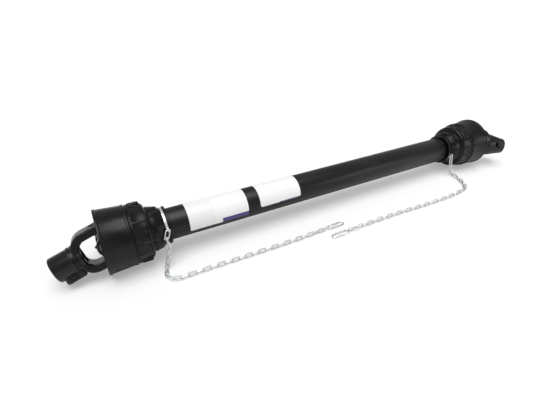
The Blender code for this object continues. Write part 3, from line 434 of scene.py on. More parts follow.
def frame_panels(bm, along, panels, shift, rib, depth):
    """Sink a ring of panels into the band between two places, or raise it by a negative depth."""
    group = ROUND // panels
    band = []
    for face in bm.faces:
        center = face.calc_center_median()
        out = Vector((0, center.y, center.z)).normalized()
        if along[0] < center.x < along[1] and face.normal.dot(out) > 0.5:
            band.append(face)
    band.sort(key=lambda f: math.atan2(f.calc_center_median().z, f.calc_center_median().y))
    band = band[shift:] + band[:shift]
    for i in range(0, len(band), group):
        bmesh.ops.inset_region(bm, faces=band[i:i + group], thickness=rib * 0.8, depth=0.0,
                               use_even_offset=True, use_boundary=True)
        bmesh.ops.inset_region(bm, faces=band[i:i + group], thickness=rib * 0.25, depth=-depth,
                               use_even_offset=True, use_boundary=True)


def guard_cone(side, tube_radius):
    bm = turned(cone_outside + cone_inside(tube_radius + FIT))
    frame_panels(bm, COLLAR_BAND, 16, 4, 0.0022, 0.0018)
    frame_panels(bm, NECK_BAND, 6, 15, 0.0018, -0.0012)
    soften(bm, 0.0004, sharp=math.radians(40))
    cone = to_object(side + "_cone", bm)
    for block, edge, azimuth in ((LUG, 0.0044, LUG_AZIMUTH), (LUG, 0.0044, LUG_AZIMUTH + 180),
                                 (CLIP, 0.0016, CLIP_AZIMUTH), (CLIP_STOP, 0.0010, CLIP_AZIMUTH)):
        join(cone, slab(*block, edge), turn(-azimuth, "X"))
    cone.data.transform(guard_place[side])
    return dress(cone, guard_black, "guard_black", "guard_" + side, side + "_guard_cone")


guard_cone("left", OUTER_TUBE_RADIUS)
guard_cone("right", INNER_TUBE_RADIUS)

# %% [markdown]
# The guard tubes are two plastic pipes, one sliding in the other. They need only clean round
# walls with slightly broken ends: the material does the rest.

# %% Guard tubes
TUBE_START = 0.107
OUTER_TUBE_END = 0.9012
INNER_TUBE_END = 0.866
OUTER_TUBE_WALL = 0.0025
INNER_TUBE_WALL = 0.0022


def guard_tube(name, side, end, radius, wall):
    section = [(TUBE_START, radius), (end, radius), (end, radius - wall), (TUBE_START, radius - wall)]
    made = to_object(name + "_tube", soften(turned(section), 0.0005), guard_place[side])
    return dress(made, tube_black, "tube_black", "guard_" + side, name + "_guard_tube")


guard_tube("outer", "left", OUTER_TUBE_END, OUTER_TUBE_RADIUS, OUTER_TUBE_WALL)
guard_tube("inner", "right", INNER_TUBE_END, INNER_TUBE_RADIUS, INNER_TUBE_WALL)

# %% [markdown]
# The labels are white film with a faint sheen. A field of colour on the film is a mask: each
# comparison of a coordinate gives 1 inside and 0 outside, and multiplying them keeps what is
# inside all of them. That needs no picture, and the edges stay sharp from close by.

# %% Label film
STRIP_BLUE = (0.070, 0.052, 0.215, 1)


def film(name, strip_along, strip_height, field_along):
    """White film with a coloured strip low on its near side and a faint grey field."""
    made = Finish(name, Specular_IOR_Level=0.45, Coat_Roughness=0.2)
    here = made.node("ShaderNodeTexCoord", output="Object")
    parts = made.node("ShaderNodeSeparateXYZ", {}, {0: here})
    x, y, z = (Wire(made, output) for output in parts.socket.node.outputs)
    near = y < LEFT_RIM.y
    low, high = strip_height
    strip = (x > strip_along[0]) * (x < strip_along[1]) * (z > low) * (z < high) * near
    faint = (x > field_along[0]) * (x < field_along[1]) * near * (z > low)
    white = made.mix(made.noise(0.02, 3.0) * 0.3, (0.93, 0.93, 0.93, 1), (0.90, 0.90, 0.90, 1))
    base = made.mix(faint * 0.2, white, (0.66, 0.64, 0.66, 1))
    made.feed(Base_Color=made.mix(strip, base, STRIP_BLUE),
              Roughness=made.ramp(made.noise(0.004, 2.0), 0.3, 0.7, 0.30, 0.38))
    return made


film_one = film("film_one", (-0.2815, -0.2180), (0.0480, 0.0640), (-0.352, -0.296))
film_two = film("film_two", (-0.145, -0.0870), (0.0636, 0.0650), (-0.2, -0.19))
print("films", film_one.material.name, film_two.material.name)

# %% [markdown]
# Two labels are wrapped over the top of the tube. Each starts as a flat plate whose corners a
# vertex bevel rounds off. Cuts across it make it fine enough to bend, and a small wall gives it
# its edge.

# %% Labels
LABEL_LIFT = 0.00025
LABEL_WALL = 0.00018
LABEL_CUTS = 64


def label(name, start, end, low_near, low_far, corner, finish):
    """Film over the top of the tube between two distances from the rim and two angles."""
    radius = OUTER_TUBE_RADIUS + LABEL_LIFT
    bm = bmesh.new()
    bmesh.ops.create_grid(bm, x_segments=1, y_segments=1, size=0.5)
    length = end - start
    width = radius * math.radians(low_far - low_near)
    bmesh.ops.scale(bm, vec=(length, width, 1), verts=bm.verts)
    bmesh.ops.bevel(bm, geom=bm.verts[:], offset=corner, segments=5, profile=0.5,
                    affect="VERTICES", material=-1)
    for i in range(1, LABEL_CUTS):
        across = width * (i / LABEL_CUTS - 0.5)
        bmesh.ops.bisect_plane(bm, geom=bm.verts[:] + bm.edges[:] + bm.faces[:], dist=1e-7,
                               plane_co=(0, across, 0), plane_no=(0, 1, 0))
    middle = math.radians((low_near + low_far) / 2)
    for vert in bm.verts:
        angle = middle + vert.co.y / radius
        vert.co = Vector(((start + end) / 2 + vert.co.x, radius * math.sin(angle),
                          radius * math.cos(angle)))
    bmesh.ops.recalc_face_normals(bm, faces=bm.faces)
    bmesh.ops.solidify(bm, geom=bm.faces[:], thickness=-LABEL_WALL)
    made = to_object(name, bm, guard_place["left"])
    return dress(made, finish, "tube_black", "guard_left")


label("label_one", 0.1640, 0.2928, -108, 100, 0.0020, film_one)
label("label_two", 0.3212, 0.4225, -91, 100, 0.0050, film_two)

# %% [markdown]
# A yoke is a forging: a round hub that opens into a fork with two eared arms. Sawing the fork's
# side view and its plan out of blocks and intersecting them gives the shape. A voxel remesh and
# a little smoothing then round every corner the way a forging die does.

# %% Forks
EAR_GAP = 0.050
FORK_WIDTH = 0.081
EAR_WIDTH = 0.040
THROAT_CORNER = 0.017
FORK_BASE = 0.012
HUB_RADIUS = 0.025
QUARTER = math.pi / 2


def fork(name, throat, corner):
    """Fork along +X with its ears towards +Z and -Z."""
    base_end = throat + FORK_BASE
    half, gap = FORK_WIDTH / 2, EAR_GAP / 2
    tip = -EAR_WIDTH / 2 - 0.001
    upper = [(tip, gap), (tip, half - 0.003), (tip + 0.004, half)]
    upper += arc((base_end - corner, half - corner), corner, QUARTER, 0.0, 10)
    throat_line = arc((throat - THROAT_CORNER, gap - THROAT_CORNER), THROAT_CORNER, 0.0, QUARTER, 12)
    side_view = upper + [(x, -y) for x, y in reversed(upper)]
    side_view += [(x, -y) for x, y in reversed(throat_line)] + throat_line
    foot = HUB_RADIUS - 0.001
    plan = arc((0, 0), EAR_WIDTH / 2, QUARTER, 3 * QUARTER, 28)
    plan += [(base_end - 0.02, -EAR_WIDTH / 2), (base_end, -foot), (base_end, foot),
             (base_end - 0.02, EAR_WIDTH / 2)]
    body = to_object(name, sawn(side_view, -half, half), turn(90, "X"))
    return combine(body, to_object("plan", sawn(plan, -FORK_WIDTH, FORK_WIDTH)), "INTERSECT")


def forge(body, voxel, rounds):
    """Round the corners of a solid made of sharp shapes, as a forging's are."""
    with_modifier(body, "REMESH", mode="VOXEL", voxel_size=voxel)
    return with_modifier(body, "SMOOTH", factor=0.5, iterations=rounds)


print("a fork is", FORK_WIDTH, "wide over its ears")

# %% [markdown]
# Machined faces are cut after the forging is rounded, so that they stay crisp. A boolean leaves
# its tool's material on the faces that it cuts, so a steel tool shows bare steel in painted
# iron. Each ear is bored for its bearing cup, with a wider seat outside for the snap ring.

# %% Machined bores
CAP_RADIUS = 0.0135
CAP_END = 0.0373


def painted(body):
    body.data.materials.append(yoke_paint.material)
    return body


def machine(body, bm, place=None):
    """Cut with a tool of bare steel."""
    tool = to_object("tool", bm, place)
    tool.data.materials.append(bearing_steel.material)
    return combine(body, tool, "DIFFERENCE")


def bore_ears(body, roll=0.0):
    """Bores for the cups in both ears, turned by roll about the yoke's axis."""
    seat = CAP_RADIUS + 0.0015
    bore = CAP_RADIUS + FIT
    outline = [(EAR_GAP / 2 - 0.004, 0), (EAR_GAP / 2 - 0.004, bore), (CAP_END, bore),
               (CAP_END, seat), (FORK_WIDTH / 2 + 0.004, seat), (FORK_WIDTH / 2 + 0.004, 0)]
    for up in (-90, 90):
        machine(body, turned(outline, 64), turn(roll, "X") @ turn(up, "Y"))
    return body


print("ears are bored", 2 * (CAP_RADIUS + FIT), "wide")

# %% [markdown]
# The tractor end's yoke slides onto a stub shaft with six splines. Its hub is turned, with two
# low ridges where the fork ends. The splined bore's section runs along arcs of two radii, and
# the teeth's straight sides join them.

# %% Tractor hub and splines
OUTER_THROAT = 0.047
TRACTOR_END = 0.102
SPLINE_ROOT = 0.0176
SPLINE_TOP = 0.0151
TOOTH = 0.0087


def hub_outline():
    start = OUTER_THROAT + FORK_BASE
    low, high = HUB_RADIUS + 0.0004, HUB_RADIUS + 0.0015
    outline = [(start - 0.010, 0), (start - 0.010, low)]
    for ridge in (start - 0.003, start + 0.004):
        outline += [(ridge, low), (ridge + 0.001, high), (ridge + 0.003, high), (ridge + 0.004, low)]
    return outline + [(start + 0.0095, HUB_RADIUS), (TRACTOR_END - 0.0030, HUB_RADIUS),
                      (TRACTOR_END - 0.0010, HUB_RADIUS - 0.0012), (TRACTOR_END, HUB_RADIUS - 0.0030),
                      (TRACTOR_END, 0)]


def spline_outline():
    """Section of the bore: six straight-sided teeth."""
    half_root, half_top = math.asin(TOOTH / 2 / SPLINE_ROOT), math.asin(TOOTH / 2 / SPLINE_TOP)
    half_pitch = math.radians(30)
    points = []
    for i in range(6):
        middle = math.radians(60 * (i + 0.5))
        points += arc((0, 0), SPLINE_ROOT, middle - half_pitch + half_root,
                      middle + half_pitch - half_root, 6)
        points += arc((0, 0), SPLINE_TOP, middle + half_pitch - half_top,
                      middle + half_pitch + half_top, 6)
    return points


print("splined bore", 2 * SPLINE_ROOT, "wide at its roots")

# %% [markdown]
# A boss on the hub's underside holds the push pin, which locks the yoke on the stub shaft. Hub
# and boss are joined to the forged fork, and the bores are cut last. The pin has a waist, which
# comes level with the splines when its button is pressed and lets the shaft pass.

# %% Tractor yoke and push pin
PIN_PLACE = 0.079
PIN_OFFSET = 0.0222
BOSS_HALF = 0.017
pin_place = slid(PIN_PLACE, 0, -PIN_OFFSET) @ turn(-90, "Z")

tractor_fork = forge(fork("tractor_fork", OUTER_THROAT, 0.027), 0.0010, 40)
join(tractor_fork, turned(hub_outline(), 64))
boss = slab((0.057, -BOSS_HALF, -0.0335), (0.094, BOSS_HALF, -0.012), 0.004)
join(tractor_fork, boss)
painted(tractor_fork)
splines = sawn(spline_outline(), OUTER_THROAT - 0.03, TRACTOR_END + 0.01)
machine(tractor_fork, splines, turn(90, "Y"))
bore_ears(tractor_fork)
pin_bore = [(-0.026, 0), (-0.026, 0.0064), (0.007, 0.0064), (0.007, 0.0094), (0.031, 0.0094),
            (0.031, 0)]
machine(tractor_fork, turned(pin_bore, 40), pin_place)
tractor_fork.data.transform(outer_place["left"])
dress(tractor_fork, yoke_paint, "yoke_iron", "yoke_left", "tractor_yoke", sharp=math.radians(45))

pin_outline = [(-0.0168, 0), (-0.0168, 0.0054), (-0.0162, 0.006), (0.0021, 0.006), (0.0036, 0.0036),
               (0.0088, 0.0036), (0.0103, 0.006), (0.025, 0.006), (0.025, 0.0085), (0.0283, 0.0085),
               (0.029, 0.0078), (0.029, 0)]
push_button = to_object("push_button", soften(turned(pin_outline, 48), 0.0003),
                        outer_place["left"] @ pin_place)
dress(push_button, yoke_paint, "zinc", "pin", "push_pin")

# %% [markdown]
# Round wire makes the spring behind the push pin's button, and later loops, links and hooks. A
# curve with a round bevel follows a few points and becomes a mesh once its shape is right.

# %% Wire and the pin's spring
WIRE_STEPS = 3


def wire(name, points, radius, closed=False, place=None):
    """Round wire along points."""
    curve = bpy.data.curves.new(name, "CURVE")
    curve.dimensions = "3D"
    curve.bevel_depth = radius
    curve.bevel_resolution = WIRE_STEPS
    curve.use_fill_caps = True
    spline = curve.splines.new("POLY")
    spline.points.add(len(points) - 1)
    for point, at in zip(spline.points, points):
        point.co = (*at, 1.0)
    spline.use_cyclic_u = closed
    holder = in_scene(name + "_curve", curve)
    graph = bpy.context.evaluated_depsgraph_get()
    bm = bmesh.new()
    bm.from_mesh(bpy.data.meshes.new_from_object(holder.evaluated_get(graph)))
    bpy.data.objects.remove(holder, do_unlink=True)
    return to_object(name, bm, place)


COIL_START = 0.0081
COIL_LENGTH = 0.0158
COIL_RADIUS = 0.00755
TURN_STEPS = 20
COIL_STEPS = 3 * TURN_STEPS
coil = []
for i in range(COIL_STEPS + 1):
    angle = 2 * math.pi * i / TURN_STEPS
    coil.append((COIL_START + COIL_LENGTH * i / COIL_STEPS, COIL_RADIUS * math.cos(angle),
                 COIL_RADIUS * math.sin(angle)))
dress(wire("pin_spring", coil, 0.0008, place=outer_place["left"] @ pin_place), zinc, "zinc",
      "yoke_left", "push_pin_spring")

# %% [markdown]
# The implement end's yoke has a plain round bore in a hub that tapers to its end. One bolt goes
# straight through it between two raised lands, which are one turned bar across the hub.

# %% Implement yoke
IMPLEMENT_END = 0.108
PLAIN_BORE = 0.0175
BOLT_HOLE = 0.0053
BOLT_PLACE = slid(0.090) @ turn(90, "Z")


def rod(start, end, radius, steps):
    return turned([(start, 0), (start, radius), (end, radius), (end, 0)], steps)


implement_fork = forge(fork("implement_fork", OUTER_THROAT, 0.025), 0.0010, 24)
taper = [(0.049, 0), (0.049, 0.0300), (0.060, 0.0305), (0.066, 0.0300), (0.098, 0.0222),
         (0.1055, 0.0210), (0.1075, 0.0198), (IMPLEMENT_END, 0.0188), (IMPLEMENT_END, 0)]
join(implement_fork, soften(turned(taper, 64), 0.0008))
lands = soften(rod(-HUB_RADIUS, HUB_RADIUS, 0.0105, 48), 0.0006)
join(implement_fork, lands, BOLT_PLACE)
painted(implement_fork)
machine(implement_fork, rod(OUTER_THROAT - 0.03, IMPLEMENT_END + 0.01, PLAIN_BORE, 64))
bore_ears(implement_fork)
machine(implement_fork, rod(-0.035, 0.035, BOLT_HOLE, 32), BOLT_PLACE)
implement_fork.data.transform(outer_place["right"])
dress(implement_fork, yoke_paint, "yoke_iron", "yoke_right", "implement_yoke",
      sharp=math.radians(45))

# %% [markdown]
# The bolt has a hexagon head and a nut. The chamfer on their corners is what a hexagon bar and a
# turned blank have in common, so the two are intersected. The thread shows past the nut, as a
# few turned ridges.

# %% Bolt and nut
ACROSS = 0.017
SEAT = HUB_RADIUS + FIT


def hexagon(low, high):
    """Hexagon bar along X with chamfered ends."""
    corners = arc((0, 0), ACROSS / math.sqrt(3), 0, 2 * math.pi * 5 / 6, 5)
    bar = to_object("hexagon", sawn(corners, low, high), turn(90, "Y"))
    blank = [(low, 0), (low, 0.0083), (low + 0.0011, 0.0100), (high - 0.0011, 0.0100),
             (high, 0.0083), (high, 0)]
    return combine(bar, to_object("blank", turned(blank, 48)), "INTERSECT")


thread = [(-SEAT - 0.001, 0), (-SEAT - 0.001, 0.0050), (SEAT + 0.0081, 0.0050)]
for i in range(3):
    start = SEAT + 0.0082 + 0.0012 * i
    thread += [(start, 0.0044), (start + 0.0006, 0.0050)]
thread += [(SEAT + 0.0120, 0.0043), (SEAT + 0.0120, 0)]
bolt = to_object("clamp_bolt", turned(thread, 32))
combine(bolt, hexagon(-SEAT - 0.0064, -SEAT), "UNION")
bolt.data.transform(outer_place["right"] @ BOLT_PLACE)
dress(bolt, blackened_steel, "zinc", "yoke_right", "shear_bolt")
nut = hexagon(SEAT, SEAT + 0.008)
nut.name = "clamp_nut"
nut_hole = rod(SEAT - 0.002, SEAT + 0.01, BOLT_HOLE, 32)
combine(nut, to_object("nut_hole", nut_hole), "DIFFERENCE")
nut.data.transform(outer_place["right"] @ BOLT_PLACE)
dress(nut, blackened_steel, "zinc", "yoke_right", "shear_bolt_nut")

# %% [markdown]
# Inside each cone an inner yoke faces the outer one, a quarter turn round. Its hub has the
# groove in which the guard's bearing ring runs, and it is broached for the lobed profile tube.

# %% Inner yokes
INNER_THROAT = 0.045


def lobed(radius):
    """Section with three low lobes."""
    points = []
    for i in range(72):
        angle = 2 * math.pi * i / 72
        reach = radius + 0.0019 * math.cos(3 * angle)
        points.append((reach * math.cos(angle), reach * math.sin(angle)))
    return points


upright = Matrix(((0, 0, 1, 0), (0, 1, 0, 0), (1, 0, 0, 0), (0, 0, 0, 1)))


def inner_fork(side, profile_radius):
    body = fork(side + "_inner_fork", INNER_THROAT, 0.013)
    body.data.transform(turn(90, "X"))
    start = INNER_THROAT + FORK_BASE
    join(body, turned([(start - 0.006, 0), (start - 0.006, 0.0285), (0.080, 0.0315),
                       (0.094, 0.0315), (0.094, 0)], 64))
    painted(forge(body, 0.0012, 3))
    ring_groove = turned([(0.082, 0.0295), (0.082, 0.036), (0.089, 0.036), (0.089, 0.0295)], 96)
    machine(body, ring_groove)
    socket = sawn(lobed(profile_radius + FIT), 0.0657, 0.104)
    machine(body, socket, upright)
    bore_ears(body, roll=90)
    pin_hole = rod(-0.06, 0.06, 0.0043, 24)
    machine(body, pin_hole, slid(0.075) @ turn(90, "Y"))
    body.data.transform(inner_place[side])
    return dress(body, yoke_paint, "yoke_iron", "shaft_" + side, side + "_inner_yoke",
                 sharp=math.radians(45))


inner_fork("left", 0.0249)
inner_fork("right", 0.0205)

# %% [markdown]
# The cross joins the two yokes. It has four ground trunnions, and over each sits a bearing cup
# that a snap ring keeps in its ear. A snap ring is open, so its spin stops short of a full turn.
# A grease nipple looks out at the outer yoke.

# %% Crosses, cups, snap rings and nipples
REACH = 0.034
RING_SWEEP = 312.0
cross_outline = [(-REACH, 0), (-REACH, 0.0074), (-REACH + 0.0006, 0.008), (-0.0165, 0.008),
                 (-0.0157, 0.0084), (-0.0149, 0.0108), (-0.0135, 0.0122), (-0.0110, 0.0125),
                 (0.0110, 0.0125), (0.0135, 0.0122), (0.0149, 0.0108), (0.0157, 0.0084),
                 (0.0165, 0.008), (REACH - 0.0006, 0.008), (REACH, 0.0074), (REACH, 0)]
cup_outline = [(CAP_END - 0.003, 0), (CAP_END - 0.003, 0.0087), (0.016, 0.0087), (0.016, 0.0131),
               (0.0164, CAP_RADIUS), (CAP_END - 0.0007, CAP_RADIUS), (CAP_END, CAP_RADIUS - 0.0007),
               (CAP_END, 0.0105), (CAP_END - 0.0004, 0.0100), (CAP_END - 0.0004, 0)]
ring_outline = [(CAP_END + FIT, 0.0115), (CAP_END + FIT, 0.0147), (CAP_END + FIT + 0.0015, 0.0147),
                (CAP_END + FIT + 0.0015, 0.0115)]
nipple_outline = [(0.0166, 0), (0.0166, 0.0036), (0.0172, 0.0036), (0.0182, 0.0020), (0.0200, 0.0020),
                  (0.0212, 0.0028), (0.0228, 0.0029), (0.0238, 0.0023), (0.0243, 0.0013), (0.0243, 0)]


def cup_and_ring(name, body, place):
    cup = to_object(name + "_cup", turned(cup_outline, 48), place)
    dress(cup, bearing_steel, "bearing_steel", body, name + "_cap")
    ring = to_object(name + "_ring", soften(turned(ring_outline, 40, RING_SWEEP), 0.0002, 1), place)
    dress(ring, bearing_steel, "bearing_steel", body, name + "_snap_ring")


for side in ("left", "right"):
    spider = to_object(side + "_spider", turned(cross_outline, 48), turn(90, "Y"))
    join(spider, turned(cross_outline, 48), turn(90, "Z"))
    spider.data.transform(cross_place[side])
    dress(spider, bearing_steel, "bearing_steel", "cross_" + side, side + "_cross")
    tip = to_object(side + "_nipple", turned(nipple_outline, 24))
    small_hex = sawn(arc((0, 0), 0.0041, 0, 2 * math.pi * 5 / 6, 5), 0.0128, 0.0167)
    join(tip, small_hex, turn(90, "Y"))
    tip.data.transform(cross_place[side])
    dress(tip, blackened_steel, "zinc", "cross_" + side, side + "_grease_nipple")
    far = 90 if side == "left" else -90
    for end, degrees in (("inner_far", far), ("inner_near", -far)):
        cup_and_ring(side + "_" + end, "shaft_" + side, inner_place[side] @ turn(degrees, "Z"))
    for end, degrees in (("outer_upper", -90), ("outer_lower", 90)):
        cup_and_ring(side + "_" + end, "yoke_" + side, outer_place[side] @ turn(degrees, "Y"))

# %% [markdown]
# The profile tubes, their roll pins and the nylon bearing rings are inside the guards. Their
# solids have the right shape already, so they stay as the model's own nodes with better finishes.

# %% Nodes that stay
for name, finish in (("outer_profile_tube", profile_steel), ("inner_profile_tube", profile_steel),
                     ("left_yoke_pin", bearing_steel), ("right_yoke_pin", bearing_steel),
                     ("left_bearing_ring", nylon), ("right_bearing_ring", nylon)):
    nodes[name].data.materials.clear()
    nodes[name].data.materials.append(finish.material)
    print(name, "keeps its shape and takes", finish.material.name)

# %% [markdown]
# A safety chain hooks into the groove of each cone by a strap of spring steel with an eye. The
# strap is an open band spun part of the way round the groove, and its eye is a small plate joined
# on. The near strap goes up over the cone, and the far one down and round below.

# %% Straps
STRAP_PLAY = 0.0007
EYE_RADIUS = 0.0055
EYE_HOLE = 0.0032
EYE_OUT = 0.0005
EYE_AHEAD = math.radians(5)
STRAP_SWEEP = 215.0
GROOVE_MIDDLE = (GROOVE_START + GROOVE_END) / 2
strap_start = {"left": math.radians(15), "right": math.radians(-11)}
strap_x = {"left": GROOVE_MIDDLE, "right": RIM_TO_RIM - GROOVE_MIDDLE}


def eye_center(side):
    """Centre of the strap's eye, from the left rim."""
    lift = strap_start[side] + EYE_AHEAD
    reach = GROOVE_RADIUS + STRAP_PLAY + EYE_RADIUS + EYE_OUT
    return Vector((strap_x[side], -reach * math.cos(lift), reach * math.sin(lift)))


def strap(side):
    inner = GROOVE_RADIUS + STRAP_PLAY
    outline = [(-0.0025, inner), (0.0025, inner), (0.0025, inner + 0.0015), (-0.0025, inner + 0.0015)]
    band = soften(turned(outline, 56, STRAP_SWEEP), 0.0004)
    over_top = STRAP_SWEEP if side == "left" else 0.0
    roll = 90 - math.degrees(strap_start[side]) - over_top
    made = to_object(side + "_strap", band, turn(roll, "X"))
    lift = strap_start[side] + EYE_AHEAD
    eye = eye_center(side) - Vector((strap_x[side], 0, 0))
    middle = eye - EYE_OUT * Vector((0, -math.cos(lift), math.sin(lift)))
    plate = soften(rod(-0.0011, 0.0011, EYE_RADIUS, 40), 0.0003)
    join(made, plate, Matrix.Translation(middle))
    hole = rod(-0.004, 0.004, EYE_HOLE, 32)
    combine(made, to_object("hole", hole, Matrix.Translation(eye)), "DIFFERENCE")
    made.data.transform(guard_place["left"] @ slid(strap_x[side]))
    return dress(made, zinc, "zinc", "guard_" + side, side + "_chain_strap")


strap("left")
strap("right")

# %% [markdown]
# A wire loop hangs askew in each strap's eye: a small one on the near end, and on the far end a
# long one that reaches the floor. Its outline has four round corners and leans as it goes down.

# %% Loops
LOOP_WIDTH = 0.0110
LOOP_CORNER = 0.0018


def hanging_loop(name, side, length, lean, radius, node):
    """Loop of wire that hangs askew in a strap's eye."""
    drop = length - 2 * radius
    out, low = LOOP_WIDTH / 2 - radius - LOOP_CORNER, drop - LOOP_CORNER
    shape = []
    for center, start in (((out, LOOP_CORNER), -90), ((out, low), 0),
                          ((-out, low), 90), ((-out, LOOP_CORNER), 180)):
        shape += arc(center, LOOP_CORNER, math.radians(start), math.radians(start + 90), 4)
    hold = eye_center(side)
    hold.z -= EYE_HOLE * math.cos(math.pi / 10) - radius - FIT
    points = [hold + Vector((x + lean[0] * down / drop, lean[1] * down / drop, -down))
              for x, down in shape]
    made = wire(name, points, radius, closed=True, place=guard_place["left"])
    return dress(made, zinc, "zinc", "guard_" + side, node)


hanging_loop("left_connector", "left", 0.0165, (-0.0070, -0.0077), 0.0013, "left_chain_connector")
hanging_loop("right_hanger", "right", 0.0500, (0.0080, -0.0048), 0.0015, "right_chain_hanger")

# %% [markdown]
# Each chain hangs from its loop, reaches the floor and lies along the shaft, on a smooth curve
# through given points. The links are a pitch apart, measured straight from joint to
# joint, so the next joint is found by halving the stretch of curve in which that is reached.

# %% Routes of the chains
LINK_PITCH = 0.0149
LEFT_ROUTE = [(0.1127, -0.0468, 0.0653), (0.1130, -0.0473, 0.0480), (0.1127, -0.0479, 0.0300),
              (0.1090, -0.0490, 0.0170), (0.1040, -0.0540, 0.0085), (0.0985, -0.0640, 0.0054),
              (0.0955, -0.0757, 0.0050), (0.0985, -0.0890, 0.0046), (0.1120, -0.0985, 0.0042),
              (0.1400, -0.0985, 0.0041), (0.1850, -0.0990, 0.0041), (0.2600, -0.1005, 0.0041),
              (0.3400, -0.1015, 0.0041), (0.4200, -0.1010, 0.0046), (0.4700, -0.0985, 0.0048)]
RIGHT_ROUTE = [(0.9196, -0.0432, 0.0131), (0.9190, -0.0560, 0.0068), (0.9170, -0.0690, 0.0056),
               (0.9120, -0.0860, 0.0052), (0.9040, -0.1020, 0.0048), (0.8960, -0.1150, 0.0043),
               (0.8850, -0.1250, 0.0042), (0.8580, -0.1315, 0.0041), (0.8000, -0.1350, 0.0041),
               (0.7200, -0.1335, 0.0041), (0.6500, -0.1300, 0.0041), (0.5800, -0.1290, 0.0043),
               (0.5000, -0.1295, 0.0048), (0.4600, -0.1290, 0.0048)]
on_floor = slid(LEFT_RIM.x, LEFT_RIM.y)


def smooth_route(points, steps=24):
    """Catmull-Rom curve through the points."""
    fence = [2 * Vector(points[0]) - Vector(points[1])] + [Vector(p) for p in points]
    fence.append(2 * fence[-1] - fence[-2])
    dense = []
    for a, b, c, d in zip(fence, fence[1:], fence[2:], fence[3:]):
        for i in range(steps):
            t = i / steps
            dense.append(0.5 * (2 * b + (c - a) * t + (2 * a - 5 * b + 4 * c - d) * t * t
                                + (3 * b - a - 3 * c + d) * t * t * t))
    return dense + [fence[-2]]


def link_joints(route, links):
    """Points a pitch apart, where one link bears on the next."""
    dense = smooth_route(route)
    joints = [dense[0]]
    for near, far in zip(dense, dense[1:]):
        if (far - joints[-1]).length >= LINK_PITCH and len(joints) <= links:
            low, high = 0.0, 1.0
            for _ in range(20):
                middle = (low + high) / 2
                if (near.lerp(far, middle) - joints[-1]).length < LINK_PITCH:
                    low = middle
                else:
                    high = middle
            joints.append(near.lerp(far, high))
    return joints


print("routes of", len(LEFT_ROUTE), "and", len(RIGHT_ROUTE), "points")

# %% [markdown]
# A slack chain's links lie rolled to either side in turn. Upright is carried back from the hook
# link by link, so that none spins where the route bends. Near the loop the links turn until the
# first one hangs in it, and near the hook until the last one stands on edge.

# %% Turning the links
LINK_ROLL = 45


def twist_to(normal, wanted, along):
    """Smallest turn about along that brings a link's normal onto a wanted line."""
    flat = (wanted - along * wanted.dot(along)).normalized()
    angle = math.atan2(normal.cross(flat).dot(along), normal.dot(flat))
    return (angle + math.pi / 2) % math.pi - math.pi / 2


def link_places(route, links):
    """A matrix for each link, X along the chain and Z across the link's own plane."""
    joints = link_joints(route, links)
    alongs = [(far - near).normalized() for near, far in zip(joints, joints[1:])]
    ups = [UP]
    for along in reversed(alongs[:-1]):
        ups.insert(0, (ups[0] - along * ups[0].dot(along)).normalized())
    normals = [Matrix.Rotation(math.radians(LINK_ROLL if i % 2 else -LINK_ROLL), 3, alongs[i]) @ up
               for i, up in enumerate(ups)]
    hang = twist_to(normals[0], Vector((1, 0, 0)), alongs[0])
    stand = twist_to(normals[-1], UP.cross(alongs[-1]), alongs[-1])
    places = []
    for i, along in enumerate(alongs):
        twist = hang * max(0.0, 1 - i / 5) + stand * max(0.0, 1 - (links - 1 - i) / 3)
        normal = Matrix.Rotation(twist, 3, along) @ normals[i]
        axes = Matrix((along, normal.cross(along), normal)).transposed().to_4x4()
        places.append(Matrix.Translation(joints[i].lerp(joints[i + 1], 0.5)) @ axes)
    return places, joints


print("links are rolled", LINK_ROLL, "degrees to either side")

# %% [markdown]
# Links are bent from round wire and welded. One link is made as a closed wire, and its mesh is
# copied to every place on the route.

# %% Chains
LINK_RADIUS = 0.0015
LINK_BEND = 0.0036


def chain(side, route, links):
    straight = LINK_PITCH / 2 + LINK_RADIUS - LINK_BEND
    oval = arc((straight, 0), LINK_BEND, -QUARTER, QUARTER, 8)
    oval += arc((-straight, 0), LINK_BEND, QUARTER, 3 * QUARTER, 8)
    link = wire("link", [(x, y, 0) for x, y in oval], LINK_RADIUS, closed=True)
    bm = bmesh.new()
    places, joints = link_places(route, links)
    for place in places:
        bm.from_mesh(link.data)
        bmesh.ops.transform(bm, matrix=place, verts=bm.verts[-len(link.data.vertices):])
    bpy.data.objects.remove(link, do_unlink=True)
    dress(to_object(side + "_safety_chain", bm, on_floor), zinc, "zinc", "guard_" + side,
          side + "_chain")
    return joints


left_joints = chain("left", LEFT_ROUTE, 31)
right_joints = chain("right", RIGHT_ROUTE, 33)

# %% [markdown]
# Each chain ends in a long wire hook, bent from one piece: a small eye round the last link, a
# straight shank, a wide bend and a return that springs shut against the shank.

# %% Hooks
HOOK_RADIUS = 0.0016
HOOK_LENGTH = 0.047
HOOK_EYE = 0.0052
HOOK_SLACK = 0.0031
HOOK_BEND = 0.0056
HOOK_RETURN = [(-0.0168, -0.001), (-0.024, 0.0015)]


def hook_place(joints):
    """Where a hook's eye takes up the last link, sloping down to the floor."""
    along = (joints[-1] - joints[-2]).normalized()
    start = joints[-1] - along * HOOK_SLACK
    slope = math.asin((start.z - HOOK_RADIUS) / (HOOK_LENGTH - HOOK_RADIUS))
    along.z = 0
    along.normalize()
    axes = Matrix((along, UP.cross(along), UP)).transposed().to_4x4()
    return on_floor @ Matrix.Translation(start) @ axes @ Matrix.Rotation(slope, 4, "Y")


